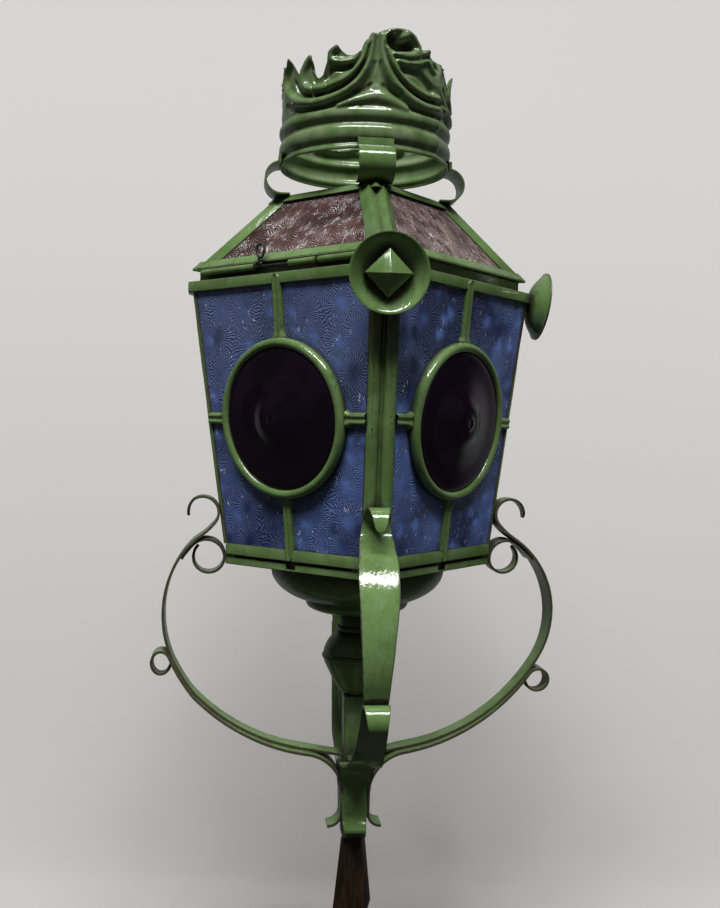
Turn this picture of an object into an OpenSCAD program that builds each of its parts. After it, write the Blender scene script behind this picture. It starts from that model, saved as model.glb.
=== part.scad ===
// Processional lantern: a square, tapering glazed body on a staff socket, with
// four scrolled strap brackets, a hinged glazed lid and a pressed tin crown.
// Millimetres. +Z is up. The origin is the lower end of the staff tenon, on the axis.
// The front face looks along -Y and the right face along +X.

/* [Staff] */
// Diameter of the round tenon that enters the carrying staff
tenon_d = 24; // [18:0.5:26]
// Length of the round tenon
tenon_len = 60; // [40:1:90]
// Side of the wooden block at its lower end
block_side = 28; // [27:0.5:34]
// Side of the wooden block at the socket
block_neck = 17; // [15:0.5:19]
// Length of the wooden block below the socket
block_len = 61; // [50:1:80]
// Turn of the wooden block about the axis, in degrees
block_turn = 29; // [0:1:45]
// Diameter of the wooden tenon inside the socket
socket_tenon_d = 14; // [12:0.5:15]
// Depth that the wooden tenon reaches into the socket
socket_tenon_len = 85; // [60:1:100]
// Radial play of that tenon in the socket
tenon_play = 0.05; // [0.02:0.01:0.08]
// Room beyond the end of that tenon
tenon_gap = 5; // [3:0.5:10]

/* [Socket and stem] */
// Side of the square socket tube
socket_side = 20; // [18:0.5:22]
// Length of the socket tube
socket_len = 119; // [115:1:125]
// Greatest diameter of the knop, over its seam
knop_d = 57; // [50:1:64]
// Height of the lower half of the knop
knop_low_h = 32.5; // [28:0.5:36]
// Height of the upper half of the knop
knop_up_h = 20.5; // [18:0.5:24]
// Diameter of the knop where it meets the socket
knop_foot_d = 18; // [16:0.5:20]
// Diameter of the knop where it meets the collar
knop_head_d = 27; // [24:0.5:30]
// Diameter of the bead along the seam of the knop
knop_bead_d = 5; // [4:0.5:6]
// Diameter of the collar above the knop
collar_d = 32; // [30:0.5:36]
// Height of the collar
collar_h = 4; // [3:0.5:6]
// Diameter of the neck below the bowl
neck_d = 28; // [24:0.5:29]
// Height of the neck
neck_h = 10; // [8:0.5:14]
// Wall of the spun sheet pieces
spun_wall = 1.2; // [1:0.1:2]

/* [Bowl] */
// Diameter of the bowl at its rim
bowl_d = 144; // [136:1:146]
// Height of the bowl
bowl_h = 43; // [38:0.5:48]
// Diameter of the step below the bowl
bowl_step_d = 86; // [78:1:92]
// Height of the step below the bowl
bowl_step_h = 12; // [10:0.5:14]

/* [Body] */
// Outer width of the top rail
body_top_w = 212; // [206:1:218]
// Outer width of the base rail
body_base_w = 172; // [168:0.2:176]
// Height of the body, from the base flange to the top rail
body_h = 228; // [220:1:236]
// Height of the top rail
rail_h = 9; // [7:0.5:11]
// Width of the top rail, seen from above
rail_w = 14; // [12:0.5:15]
// Depth by which the corners of the top rail are cut off
rail_cut = 7.4; // [5:0.1:10]
// Height of the base rail
base_rail_h = 9; // [7:0.5:11]
// Distance of the base flange behind the face of the base rail
flange_in = 1.8; // [0:0.1:4]
// Height of the base flange
flange_h = 6; // [5:0.5:8]
// Height of the groove between the base rail and the flange
groove_h = 2; // [1.5:0.1:3]
// Depth of that groove
groove_depth = 5; // [4:0.1:6]
// Length of the groove on each side
groove_len = 120; // [100:1:130]
// Height of the notch in the flange below each glazing bar
notch_h = 4.5; // [3:0.1:5]
// Width of the base rail, seen from above
base_rail_w = 10; // [9:0.5:12]
// Wall of the base frame at its corners
base_wall = 8; // [6:0.5:10]
// Thickness of the base plate
plate_t = 1.5; // [1:0.1:2]
// Distance of the glass behind the outer face of the top rail
head_inset = 2.5; // [2:0.1:3]
// Distance of the glass behind the outer face of the base rail
sill_inset = 2.1; // [1.8:0.1:2.5]

/* [Corner posts] */
// Distance of the post ridges inside the meeting line of the glass planes
post_back = 7.5; // [6.5:0.1:8.5]
// Half the distance between the two ridges of a post
post_ridge = 8; // [7:0.1:9]
// Half the width of a post
post_edge = 12; // [11:0.1:13]
// Drop from the ridges to the edges of a post
post_drop = 2.5; // [2:0.1:3]
// Depth of the flute between the ridges
post_flute = 3.5; // [2.5:0.1:4]
// Depth of the sides of a post
post_wall = 9; // [8:0.1:10]

/* [Glazing] */
// Thickness of the flat panes
pane_t = 2; // [1.6:0.1:3]
// Gap between neighbouring panes, below the bars
pane_gap = 0.6; // [0.4:0.1:1]
// Outer diameter of the ring round a bull's-eye glass
ring_d = 123; // [116:0.5:128]
// Width of the ring
ring_w = 7.3; // [6:0.1:8]
// Height of the ring over the glass
ring_h = 7.6; // [7.4:0.1:9]
// Width of the glazing bars
bar_w = 9.5; // [8:0.1:11]
// Height of the glazing bars over the glass
bar_h = 3.6; // [3.2:0.1:3.8]
// Height of the dome of a bull's-eye glass
dome_h = 14; // [10:0.5:16]
// Thickness of a bull's-eye glass
dome_t = 3; // [2.5:0.1:4]
// Outer diameter of the pontil mark on a bull's-eye glass
pontil_d = 15; // [12:0.5:18]
// Play of a bull's-eye glass in its ring
glass_play = 0.2; // [0.1:0.05:0.4]

/* [Lid] */
// Clearance between the lid skirt and the top rail
lid_gap = 0.3; // [0.2:0.1:0.5]
// Distance of the eaves behind the face of the top rail
eave_in = 7; // [6:0.5:9]
// Height of the eaves over the top rail
eave_lift = 9.8; // [9.5:0.1:11]
// Distance of the lid skirt behind the eaves
skirt_in = 4.5; // [4:0.1:6]
// Wall of the lid skirt
skirt_wall = 2; // [1.5:0.1:3]
// Thickness of the eave lip
lip_t = 1.5; // [1:0.1:2]
// Outer width of the roof at its top frame
roof_top_w = 104; // [98:0.5:110]
// Rise of the roof, from the eaves to the top frame
roof_rise = 62.6; // [56:0.2:70]
// Width of the opening in the top frame
vent_w = 88; // [80:0.5:90]
// Height of the top frame bars
top_bar_h = 6; // [5:0.5:8]
// Width of the eave bars, measured up the slope
eave_bar = 8; // [7:0.5:10]
// Distance of the roof glass behind the outer roof plane
roof_inset = 2.5; // [2:0.1:3]
// Height of the hip ridges over the meeting line of the roof glass
hip_stand = 1; // [0.5:0.1:2]
// Half the distance between the two ridges of a hip
hip_ridge = 5.5; // [4.5:0.1:6.5]
// Half the width of a hip
hip_edge = 12; // [11:0.1:13]
// Drop from the ridges to the edges of a hip
hip_drop = 8; // [7:0.1:8.5]
// Depth of the flute between the ridges of a hip
hip_flute = 4.5; // [3.5:0.1:5.5]
// Depth of the sides of a hip
hip_wall = 6.5; // [6:0.1:8]

/* [Hinge] */
// Height of the hinge axis over the top rail
hinge_lift = 6.6; // [6.2:0.1:6.8]
// Distance of the hinge axis behind the face of the top rail
hinge_in = 5.5; // [5:0.1:6]
// Diameter of the hinge wire
wire_d = 2; // [1.6:0.1:2.4]
// Radial clearance of the wire in the knuckle of the body
wire_play = 0.05; // [0.02:0.01:0.08]
// Outer diameter of the rolled knuckles
knuckle_d = 5.4; // [4.8:0.1:5.6]
// Thickness of the hinge leaves
leaf_t = 1.2; // [1:0.1:1.6]
// Distance of the leaves inside the back of the knuckles
leaf_in = 0.6; // [0.3:0.1:0.8]
// Distance of the twisted wire eye in front of the hinge axis
eye_out = 1.2; // [1:0.1:1.5]
// Height of the twisted wire eye over the hinge axis
eye_h = 18; // [14:0.5:22]
// Outer width of the wire eye
eye_w = 10; // [8:0.5:12]
// Diameter of the twist below the eye
twist_d = 4.6; // [4.4:0.1:5]

/* [Crown] */
// Outer diameter of the crown wall
crown_d = 137; // [132:1:142]
// Height of the lower rim of the crown over the top frame of the roof
crown_lift = 25.6; // [22:0.2:30]
// Height of the ribbed band
band_h = 31; // [28:0.5:34]
// Thickness of the crown sheet
crown_wall = 1.5; // [1.2:0.1:2]
// Height of the ribs pressed into the cresting
relief = 3.6; // [1:0.1:4]
// Half the width of these ribs
rib_w = 5; // [4:0.1:6]
// Height of the tallest motif over the band
crest_h = 61; // [54:1:66]
// Turn of the first motif from the front face, in degrees
crown_turn = 42; // [0:1:60]
// Width of the straps that carry the crown
strap_w = 28; // [24:0.5:32]
// Thickness of these straps
strap_t = 1.5; // [1.2:0.1:2]
// Height of the strap ends that lie on the crown wall
strap_tab = 7; // [5:0.5:9]

/* [Brackets] */
// Thickness of the bracket strips
strip_t = 2.2; // [1.8:0.1:2.6]
// Height of the upper scroll over the base flange
scroll_lift = 41.3; // [38:0.1:48]
// Radius of the upper scroll
scroll_r = 12.9; // [11:0.1:14]
// Radius of the throat between the upper scroll and the shoulder
throat_r = 56; // [50:0.5:60]
// Radius of the shoulder of a bracket
shoulder_r = 75.5; // [70:0.5:80]
// Radius of the lower sweep of a bracket
sweep_r = 162; // [155:1:170]
// Radius of the curl that starts the outer strip
curl_r = 9.5; // [8:0.1:11]
// Radius at which the outer strip turns down along the socket
bend_r = 34; // [28:0.5:36]
// Radius of the flared foot of the outer strip
foot_r = 11; // [9:0.1:13]
// Sweep of the flared foot, in degrees
foot_turn = 92; // [70:1:100]
// Height of the start of the flare over the lower end of the socket
foot_lift = 21; // [16:0.5:24]
// Radius of the lower scroll
lower_scroll_r = 14.8; // [14:0.1:16.5]
// Radius of its inner turn
lower_curl_r = 12.6; // [10:0.1:13.5]
// Depth to which soldered strips sink into their seats
solder_bite = 0.15; // [0.1:0.05:0.3]

/* [Rosettes] */
// Diameter of a rosette disc
rosette_d = 57; // [50:0.5:62]
// Depth of the dish of a rosette
rosette_dish = 6; // [4:0.5:8]
// Thickness of the rosette sheet
rosette_t = 1.5; // [1.2:0.1:2]
// Width of the pyramid stud across its corners
stud_w = 34; // [28:0.5:38]
// Height of the pyramid stud
stud_h = 10; // [7:0.5:13]
// Height of the base of the stud over the back of the dish
stud_base = 4.5; // [4:0.1:6]
// Distance of a rosette in front of the cut corner of the top rail
rosette_out = 3.5; // [3:0.1:8]
// Distance of the rosette centre below the top of the body
rosette_drop = 9; // [7:0.5:12]
// Diameter of the rosette stem
stem_d = 10; // [8:0.5:12]
// Length of the rosette stem, to its end inside the corner
stem_len = 18; // [16:0.5:20]

/* [Candle] */
// Diameter of the candle
candle_d = 40; // [30:1:50]
// Length of the candle
candle_len = 140; // [80:1:150]
// Radial clearance of the candle in its cup
candle_play = 0.6; // [0.4:0.1:1.5]
// Depth of the candle cup
cup_h = 24; // [18:1:32]
// Wall of the candle cup and its pan
cup_wall = 1.2; // [1:0.1:2]
// Diameter of the drip pan
pan_d = 92; // [80:1:110]
// Height of the rim of the drip pan
pan_h = 7; // [5:0.5:10]
// Diameter of the wick
wick_d = 2.4; // [2:0.1:3]
// Length of the wick above the candle
wick_len = 10; // [6:0.5:14]

/* [Hidden] */
FACES = ["front", "right", "back", "left"];
CORNERS = ["front_right", "back_right", "back_left", "front_left"];
// The front left corner has lost its rosette
ROSETTES = [0, 1, 2];
$fn = 96;
eps = 0.01;
diagonal = sqrt(2);

// Heights of the stack, from the tenon upwards
block_z = tenon_len;
socket_z = block_z + block_len;
knop_z = socket_z + socket_len;
seam_z = knop_z + knop_low_h;
collar_z = seam_z + knop_up_h;
neck_z = collar_z + collar_h;
bowl_z = neck_z + neck_h;
base_z = bowl_z + bowl_h;
base_rail_z = base_z + flange_h + groove_h;
sill_z = base_rail_z + base_rail_h;
top_z = base_z + body_h;
head_z = top_z - rail_h;

// Glass planes of the body: they lean out towards the top
glass_head = body_top_w / 2 - head_inset;
glass_sill = body_base_w / 2 - sill_inset;
face_rise = head_z - sill_z;
face_lean = atan2(glass_head - glass_sill, face_rise);
face_mid_z = (head_z + sill_z) / 2;
glass_mid = (glass_head + glass_sill) / 2;
face_len = face_rise / cos(face_lean);
function glass_half(z) = glass_mid + (z - face_mid_z) * tan(face_lean);

// Corner posts: ridge radius at a height, and lean of the post in its diagonal plane
function post_r(z) = diagonal * glass_half(z) - post_back;
post_lean = atan(diagonal * tan(face_lean));
// Half the width between the posts at mid height, with a lap for fitting
post_lap = 2;
pane_reach = glass_mid - (post_back + post_drop + post_edge) / diagonal + post_lap;

// Frames of the body
rail_corner = diagonal * body_top_w / 2 - rail_cut;
flange_w = body_base_w - 2 * flange_in;
base_inner_w = body_base_w - 2 * base_rail_w;
rosette_reach = rail_corner + rosette_out;

// Roof planes of the lid
eave_w = body_top_w - 2 * eave_in;
skirt_w = eave_w - 2 * skirt_in;
eave_z = top_z + eave_lift;
roof_top_z = eave_z + roof_rise;
roof_run = (eave_w - roof_top_w) / 2;
roof_slope = atan2(roof_rise, roof_run);
roof_len = norm([roof_rise, roof_run]);
roof_mid = (eave_w + roof_top_w) / 4 - roof_inset / sin(roof_slope);
roof_mid_z = (eave_z + roof_top_z) / 2;
hip_slope = atan2(roof_rise, diagonal * roof_run);
hip_fall = acos(cos(roof_slope) * cos(roof_slope)) / 2;

// Hinge: axis, and the ends of each knuckle along it
hinge_y = hinge_in - body_top_w / 2;
hinge_z = top_z + hinge_lift;
lid_knuckle_ends = [[-85, -27], [38, 72]];
body_knuckle_ends = [9, 35];
eye_x = -20;

// Crown
crown_r = crown_d / 2;
crown_z = roof_top_z + crown_lift;
crest_z = crown_z + band_h;

// Ring and bull's-eye glass
ring_mid_r = ring_d / 2 - ring_w / 2;
dome_r = ring_d / 2 - ring_w - glass_play;
dome_sphere = (dome_r * dome_r + dome_h * dome_h) / (2 * dome_h);

// Rosette dish
disc_r = rosette_d / 2;
dish_sphere = (disc_r * disc_r + rosette_dish * rosette_dish) / (2 * rosette_dish);

// A path station is [radius, height, heading]. A turn is [radius, angle], positive to the left.
function turned(s, r, a) = [
    s[0] + sign(a) * r * (sin(s[2] + a) - sin(s[2])),
    s[1] - sign(a) * r * (cos(s[2] + a) - cos(s[2])),
    s[2] + a];
function turn_steps(a) = max(2, ceil(abs(a) / 7));
function follow(s, turns, i = 0) = i == len(turns) ? [] :
    let (n = turn_steps(turns[i][1]),
        arc = [for (j = [1:n]) turned(s, turns[i][0], turns[i][1] * j / n)])
    concat(arc, follow(arc[n - 1], turns, i + 1));
function last(list) = list[len(list) - 1];
function ahead(s, d) = [s[0] + d * cos(s[2]), s[1] + d * sin(s[2]), s[2]];
function beside(s, d) = [s[0] - d * sin(s[2]), s[1] + d * cos(s[2]), s[2]];
function back_to_front(path) = [for (i = [len(path) - 1:-1:0]) [path[i][0], path[i][1], path[i][2] + 180]];

// Main strip of a bracket: upper scroll, shoulder, lower sweep, then straight to the socket
scroll_z = base_z + scroll_lift;
scroll_centre = post_r(scroll_z) + scroll_r + strip_t / 2 - solder_bite;
tip_heading = 76.5;
main_start = [
    scroll_centre + scroll_r * sin(tip_heading),
    scroll_z - scroll_r * cos(tip_heading),
    tip_heading];
upper_turns = [[scroll_r, 232.5], [throat_r, 17.5]];
lap_turn = -14;
shoulder_turns = [[shoulder_r, -4.5], [shoulder_r, lap_turn], [shoulder_r, -71]];
sweep_turn = -46.5;
main_upper = concat([main_start], follow(main_start, upper_turns));
main_lap = last(follow(last(main_upper), [shoulder_turns[0]]));
main_shoulder = follow(last(main_upper), shoulder_turns);
main_sweep = follow(last(main_shoulder), [[sweep_r, sweep_turn]]);
sweep_end = last(main_sweep);
socket_half = socket_side / 2;
main_end = ahead(sweep_end, (socket_half - sweep_end[0]) / cos(sweep_end[2]));
main_path = concat(main_upper, main_shoulder, main_sweep, [main_end]);

// Outer strip: curl, lap along the lower sweep, bend down the socket, flared foot
outer_start = beside(last(main_shoulder), strip_t);
curl_path = back_to_front(follow([outer_start[0], outer_start[1], outer_start[2] + 180], [[curl_r, -325]]));
outer_sweep = follow(outer_start, [[sweep_r + strip_t, sweep_turn]]);
outer_sweep_end = last(outer_sweep);
outer_r = socket_half + strip_t / 2;
bend_turn = 270 - outer_sweep_end[2];
bend_start_r = outer_r + bend_r * (1 + sin(outer_sweep_end[2]));
bend_start = ahead(outer_sweep_end, (bend_start_r - outer_sweep_end[0]) / cos(outer_sweep_end[2]));
outer_bend = follow(bend_start, [[bend_r, bend_turn]]);
foot_start = [outer_r, socket_z + foot_lift, 270];
outer_foot = follow(foot_start, [[foot_r, foot_turn]]);
outer_path = concat(curl_path, [outer_start], outer_sweep, [bend_start], outer_bend, [foot_start], outer_foot);

// Lower scroll: laps below the shoulder and curls back against the base flange
lap_start = beside(main_lap, -strip_t);
lap_path = follow(lap_start, [[shoulder_r - strip_t, lap_turn]]);
lower_start = [lap_start[0], lap_start[1], lap_start[2] - 180];
lower_path = concat(
    back_to_front(lap_path), [lower_start],
    follow(lower_start, [[lower_scroll_r, 126.5], [lower_curl_r, 229]]));
base_corner = lower_start[0] - lower_scroll_r * (sin(lower_start[2]) + 1) - strip_t / 2 + solder_bite;

// Strip widths, evenly spaced from the first end of each path to its last
main_widths = [9, 22, 29.5, 28, 18, 16, 15, 15];
outer_widths = [14, 20, 22, 26, 30, 28, 18, 16];
lower_widths = [27, 24, 20, 15, 9];

// A smooth curve through control values, for u from 0 to 1
function curve(list, u) =
    let (n = len(list) - 1, i = min(floor(u * n), n - 1), t = u * n - i,
        a = list[max(i - 1, 0)], b = list[i], c = list[i + 1], d = list[min(i + 2, n)])
    0.5 * (2 * b + (c - a) * t + (2 * a - 5 * b + 4 * c - d) * t * t + (3 * b - a - 3 * c + d) * t * t * t);
function smooth(points, steps) = [for (i = [0:steps]) curve(points, i / steps)];
function run_lengths(p) = [
    for (i = 0, s = 0; i < len(p); i = i + 1,
        s = i < len(p) ? s + norm([p[i][0] - p[i - 1][0], p[i][1] - p[i - 1][1]]) : s) s];

green = [0.42, 0.58, 0.32];
dark_green = [0.26, 0.36, 0.18];
blue_glass = [0.25, 0.36, 0.62, 0.9];
violet_glass = [0.1, 0.04, 0.12];
mauve_glass = [0.42, 0.28, 0.3, 0.9];
black_wire = [0.06, 0.06, 0.06];
brown_wood = [0.2, 0.13, 0.09];
tin_plate = [0.62, 0.62, 0.6];
beeswax = [0.9, 0.84, 0.66];

// Places: local X is the diagonal through a corner
module on_corner(k) {
    rotate([0, 0, 90 * k - 45]) children();
}

// Local XY is the outer surface of the glass of a body face, local Z points out
module on_face(k) {
    rotate([0, 0, 90 * k]) translate([0, -glass_mid, face_mid_z])
        rotate([90 + face_lean, 0, 0]) children();
}

// Local XY is the outer surface of the glass of a roof face, local Z points out
module on_roof(k) {
    rotate([0, 0, 90 * k]) translate([0, -roof_mid, roof_mid_z]) rotate([roof_slope, 0, 0]) children();
}

// A square slab with cut corners
module slab(w, z, h, corner = 1000) {
    translate([0, 0, z]) intersection() {
        translate([-w / 2, -w / 2, 0]) cube([w, w, h]);
        rotate([0, 0, 45]) translate([-corner, -corner, -eps]) cube([2 * corner, 2 * corner, h + 2 * eps]);
    }
}

// A mitred square frame. The 2-D section has its distance from the axis along X and its height along Y.
module mitred_frame(reach) {
    for (k = [0:3]) rotate([0, 0, 90 * k]) intersection() {
        translate([-reach, 0, 0]) rotate([90, 0, 90]) linear_extrude(2 * reach) children();
        linear_extrude(2 * top_z) polygon([[0, 0], [reach, reach], [-reach, reach]]);
    }
}

// Section of a fluted corner moulding: X points out of the corner, Y runs across it
module fluted_section(ridge, edge, drop, flute, wall, fall) {
    foot_x = -drop - wall * cos(fall);
    foot_y = edge - wall * sin(fall);
    polygon([
        [-drop, -edge], [0, -ridge], [-flute, 0], [0, ridge], [-drop, edge],
        [foot_x, foot_y], [foot_x, -foot_y]]);
}

// A flat strip swept along a path in the local XZ plane
module swept_strip(path, widths) {
    run = run_lengths(path);
    total = last(run);
    n = len(path);
    points = [for (i = [0:n - 1])
        let (w = curve(widths, run[i] / total) / 2,
            p = beside(path[i], strip_t / 2),
            q = beside(path[i], -strip_t / 2))
        each [[p[0], w, p[1]], [p[0], -w, p[1]], [q[0], -w, q[1]], [q[0], w, q[1]]]];
    sides = [for (i = [0:n - 2], j = [0:3])
        [4 * i + j, 4 * i + (j + 1) % 4, 4 * i + 4 + (j + 1) % 4, 4 * i + 4 + j]];
    polyhedron(points, concat([[3, 2, 1, 0]], sides, [[4 * n - 4, 4 * n - 3, 4 * n - 2, 4 * n - 1]]), convexity = 8);
}

module staff_block() {
    mid = block_z + block_len / 2;
    color(brown_wood) union() {
        cylinder(d = tenon_d, h = tenon_len + eps);
        translate([0, 0, mid]) rotate([0, 0, block_turn]) intersection() {
            tapered_prism(90);
            tapered_prism(0);
        }
        translate([0, 0, socket_z - eps]) cylinder(d = socket_tenon_d, h = socket_tenon_len + eps);
    }
}

// A prism that tapers in one direction only
module tapered_prism(turn) {
    rotate([90, 0, turn]) linear_extrude(2 * block_side, center = true) polygon([
        [-block_side / 2, -block_len / 2], [block_side / 2, -block_len / 2],
        [block_neck / 2, block_len / 2], [-block_neck / 2, block_len / 2]]);
}

module socket() {
    color(green) difference() {
        rotate([0, 0, 45]) slab(socket_side, socket_z, socket_len);
        translate([0, 0, socket_z - eps]) cylinder(d = socket_tenon_d + 2 * tenon_play, h = socket_tenon_len + tenon_gap);
    }
}

// Profiles of the knop halves, as shares of the belly radius and of the height
knop_low_profile = [[1, 0], [0.98, 0.14], [0.86, 0.35], [0.73, 0.57], [0.55, 0.815]];
knop_up_profile = [[1, 0], [0.98, 0.27], [0.86, 0.61], [0.7, 0.85]];

// Half of the knop: a bulging shell between the seam and one end
module knop_half(profile, end_d, h) {
    belly_r = knop_d / 2 - knop_bead_d / 4;
    outline = smooth(concat([for (p = profile) [p[0] * belly_r, p[1] * h]], [[end_d / 2, h]]), 14);
    rotate_extrude() difference() {
        union() {
            polygon(concat([[0, 0]], outline, [[0, h]]));
            intersection() {
                translate([knop_d / 2 - knop_bead_d / 2, 0]) circle(d = knop_bead_d);
                square([knop_d, h]);
            }
        }
        polygon(concat([[0, -spun_wall]], [for (p = outline) p - [spun_wall, spun_wall]], [[0, h - spun_wall]]));
    }
}

module knop_lower() {
    color(green) translate([0, 0, seam_z]) mirror([0, 0, 1])
        knop_half(knop_low_profile, knop_foot_d, knop_low_h);
}

module knop_upper() {
    color(green) translate([0, 0, seam_z]) knop_half(knop_up_profile, knop_head_d, knop_up_h);
}

module neck() {
    color(green) union() {
        translate([0, 0, collar_z]) cylinder(d = collar_d, h = collar_h);
        translate([0, 0, neck_z - eps]) cylinder(d = neck_d, h = neck_h + eps);
    }
}

module bowl() {
    rim_r = bowl_d / 2;
    step_r = bowl_step_d / 2;
    side = smooth([[step_r, bowl_step_h], [step_r + 12, bowl_step_h + 5], [rim_r - 7, bowl_step_h + 12],
        [rim_r - 1, bowl_step_h + 21], [rim_r, bowl_h]], 12);
    step = smooth([[neck_d / 2 + 2, 0], [step_r - 11, 3], [step_r - 2, bowl_step_h - 5], [step_r, bowl_step_h]], 9);
    outline = concat(step, side);
    color(green) translate([0, 0, bowl_z]) rotate_extrude() difference() {
        polygon(concat([[0, 0]], outline, [[0, bowl_h]]));
        polygon(concat([[0, spun_wall]], [for (p = outline) [p[0] - spun_wall, p[1] + spun_wall]],
            [[0, bowl_h + spun_wall]]));
    }
}

module base_plate() {
    color(dark_green) slab(base_inner_w, base_z, plate_t, base_corner - base_wall);
}

// Base rail over a flange, with a groove between them on each side and a notch below each bar
module base_frame() {
    color(green) difference() {
        union() {
            slab(flange_w, base_z, flange_h + groove_h + eps, base_corner);
            slab(body_base_w, base_rail_z, base_rail_h, base_corner);
        }
        slab(base_inner_w, base_z - eps, sill_z - base_z + 2 * eps, base_corner - base_wall);
        for (k = [0:3]) rotate([0, 0, 90 * k]) translate([0, -body_base_w / 2 - eps, base_rail_z]) {
            translate([-groove_len / 2, 0, -groove_h]) cube([groove_len, groove_depth + eps, groove_h]);
            translate([-bar_w / 2, 0, -groove_h - notch_h]) cube([bar_w, groove_depth + eps, groove_h + notch_h]);
        }
    }
}

module top_frame() {
    color(green) difference() {
        slab(body_top_w, head_z, rail_h, rail_corner);
        slab(body_top_w - 2 * rail_w, head_z - eps, rail_h + 2 * eps);
    }
}

module corner_post(k) {
    color(green) intersection() {
        on_corner(k) translate([post_r(face_mid_z), 0, face_mid_z]) rotate([0, post_lean, 0])
            linear_extrude(2 * face_len, center = true)
                fluted_section(post_ridge, post_edge, post_drop, post_flute, post_wall, 45);
        slab(2 * body_top_w, sill_z, face_rise);
    }
}

// A round ring on a straight foot
module eye_ring(k) {
    color(green) on_face(k) rotate_extrude() translate([ring_mid_r, 0]) {
        translate([0, ring_h - ring_w / 2]) circle(d = ring_w);
        translate([-ring_w / 2, 0]) square([ring_w, ring_h - ring_w / 2]);
    }
}

// The bars of a face: a cross of strips outside the ring, the upright one lapping over both rails
module glazing_bars(k) {
    color(green) difference() {
        intersection() {
            on_face(k) difference() {
                union() {
                    translate([-bar_w / 2, -face_len, 0]) cube([bar_w, 2 * face_len, bar_h]);
                    translate([-pane_reach, -bar_w / 2, 0]) cube([2 * pane_reach, bar_w, bar_h]);
                }
                translate([0, 0, -eps]) cylinder(d = ring_d, h = ring_h);
            }
            slab(2 * body_top_w, base_rail_z, top_z - base_rail_z);
        }
        corner_post(k);
        corner_post((k + 3) % 4);
        top_frame();
        base_frame();
    }
}

// The flat panes of a face: four quarters round the bull's-eye glass
module body_panes(k) {
    slant = (glass_head - glass_sill) / face_len;
    top = face_len / 2 + 2 * pane_t;
    color(blue_glass) difference() {
        intersection() {
            on_face(k) difference() {
                translate([0, 0, -pane_t]) linear_extrude(pane_t) polygon([
                    [-pane_reach + slant * top, -top], [pane_reach - slant * top, -top],
                    [pane_reach + slant * top, top], [-pane_reach - slant * top, top]]);
                translate([0, 0, -pane_t - eps]) cylinder(r = ring_mid_r, h = pane_t + 2 * eps);
                translate([-pane_gap / 2, -body_h, -2 * pane_t]) cube([pane_gap, 2 * body_h, 4 * pane_t]);
                translate([-body_top_w, -pane_gap / 2, -2 * pane_t]) cube([2 * body_top_w, pane_gap, 4 * pane_t]);
            }
            slab(2 * body_top_w, sill_z, face_rise);
        }
        corner_post(k);
        corner_post((k + 3) % 4);
    }
}

// A blown glass: flat rim below the ring, domed middle, raised pontil mark
module bulls_eye(k) {
    color(violet_glass) on_face(k) rotate_extrude() union() {
        translate([dome_r - dome_t, -dome_t]) square([ring_mid_r - glass_play - dome_r + dome_t, dome_t]);
        intersection() {
            translate([0, dome_h - dome_sphere]) difference() {
                circle(r = dome_sphere, $fn = 360);
                circle(r = dome_sphere - dome_t, $fn = 360);
            }
            translate([0, -dome_t]) square([dome_r, dome_h + 2 * dome_t]);
        }
        intersection() {
            translate([pontil_d / 2 - 1.6, dome_h - 0.4]) circle(r = 1.6);
            square([pontil_d, 2 * dome_h]);
        }
    }
}

module bracket_main(k) {
    color(green) on_corner(k) swept_strip(main_path, main_widths);
}

module bracket_outer(k) {
    color(green) on_corner(k) swept_strip(outer_path, outer_widths);
}

module bracket_scroll(k) {
    color(green) on_corner(k) swept_strip(lower_path, lower_widths);
}

// Local Z of a rosette points out of the corner, level with the lean of the post
module on_rosette(k) {
    on_corner(k) translate([rosette_reach, 0, top_z - rosette_drop]) rotate([0, 90 + post_lean, 0]) children();
}

// A dished disc with a rolled edge, on a stem that stands on the post and the top rail
module rosette(k) {
    color(green) difference() {
        on_rosette(k) union() {
            rotate_extrude() {
                intersection() {
                    translate([0, dish_sphere]) difference() {
                        circle(r = dish_sphere, $fn = 360);
                        circle(r = dish_sphere - rosette_t, $fn = 360);
                    }
                    square([disc_r - rosette_t, rosette_dish + rosette_t]);
                }
                translate([disc_r - rosette_t, rosette_dish]) circle(r = rosette_t);
            }
            translate([0, 0, -stem_len]) cylinder(d = stem_d, h = stem_len + rosette_t / 2);
        }
        corner_post(k);
        top_frame();
        slab(body_top_w - 2 * rail_w, sill_z, body_h);
    }
}

// Pyramid studs, each standing in the dish of its rosette
module rosette_studs() {
    half = stud_w / diagonal / 2;
    color(green) for (k = ROSETTES) on_rosette(k) intersection() {
        rotate([0, 0, 45]) intersection_for (turn = [0, 90]) rotate([90, 0, turn])
            linear_extrude(stud_w, center = true)
                polygon([[-half, 0], [half, 0], [half, stud_base], [0, stud_base + stud_h], [-half, stud_base]]);
        translate([0, 0, dish_sphere]) sphere(r = dish_sphere - rosette_t, $fn = 360);
    }
}

// The drip pan and the cup that holds the candle, standing on the base plate
module candle_holder() {
    pan_z = base_z + plate_t;
    color(tin_plate) translate([0, 0, pan_z]) difference() {
        union() {
            cylinder(d = pan_d, h = pan_h);
            cylinder(d = candle_d + 2 * candle_play + 2 * cup_wall, h = cup_h);
        }
        translate([0, 0, cup_wall]) difference() {
            cylinder(d = pan_d - 2 * cup_wall, h = pan_h);
            translate([0, 0, -eps]) cylinder(d = candle_d + 2 * candle_play + 2 * cup_wall, h = cup_h);
        }
        translate([0, 0, cup_wall]) cylinder(d = candle_d + 2 * candle_play, h = cup_h);
    }
}

candle_z = base_z + plate_t + cup_wall;

module candle() {
    color(beeswax) translate([0, 0, candle_z]) cylinder(d = candle_d, h = candle_len);
}

module wick() {
    color(black_wire) translate([0, 0, candle_z + candle_len]) cylinder(d = wick_d, h = wick_len);
}

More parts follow.
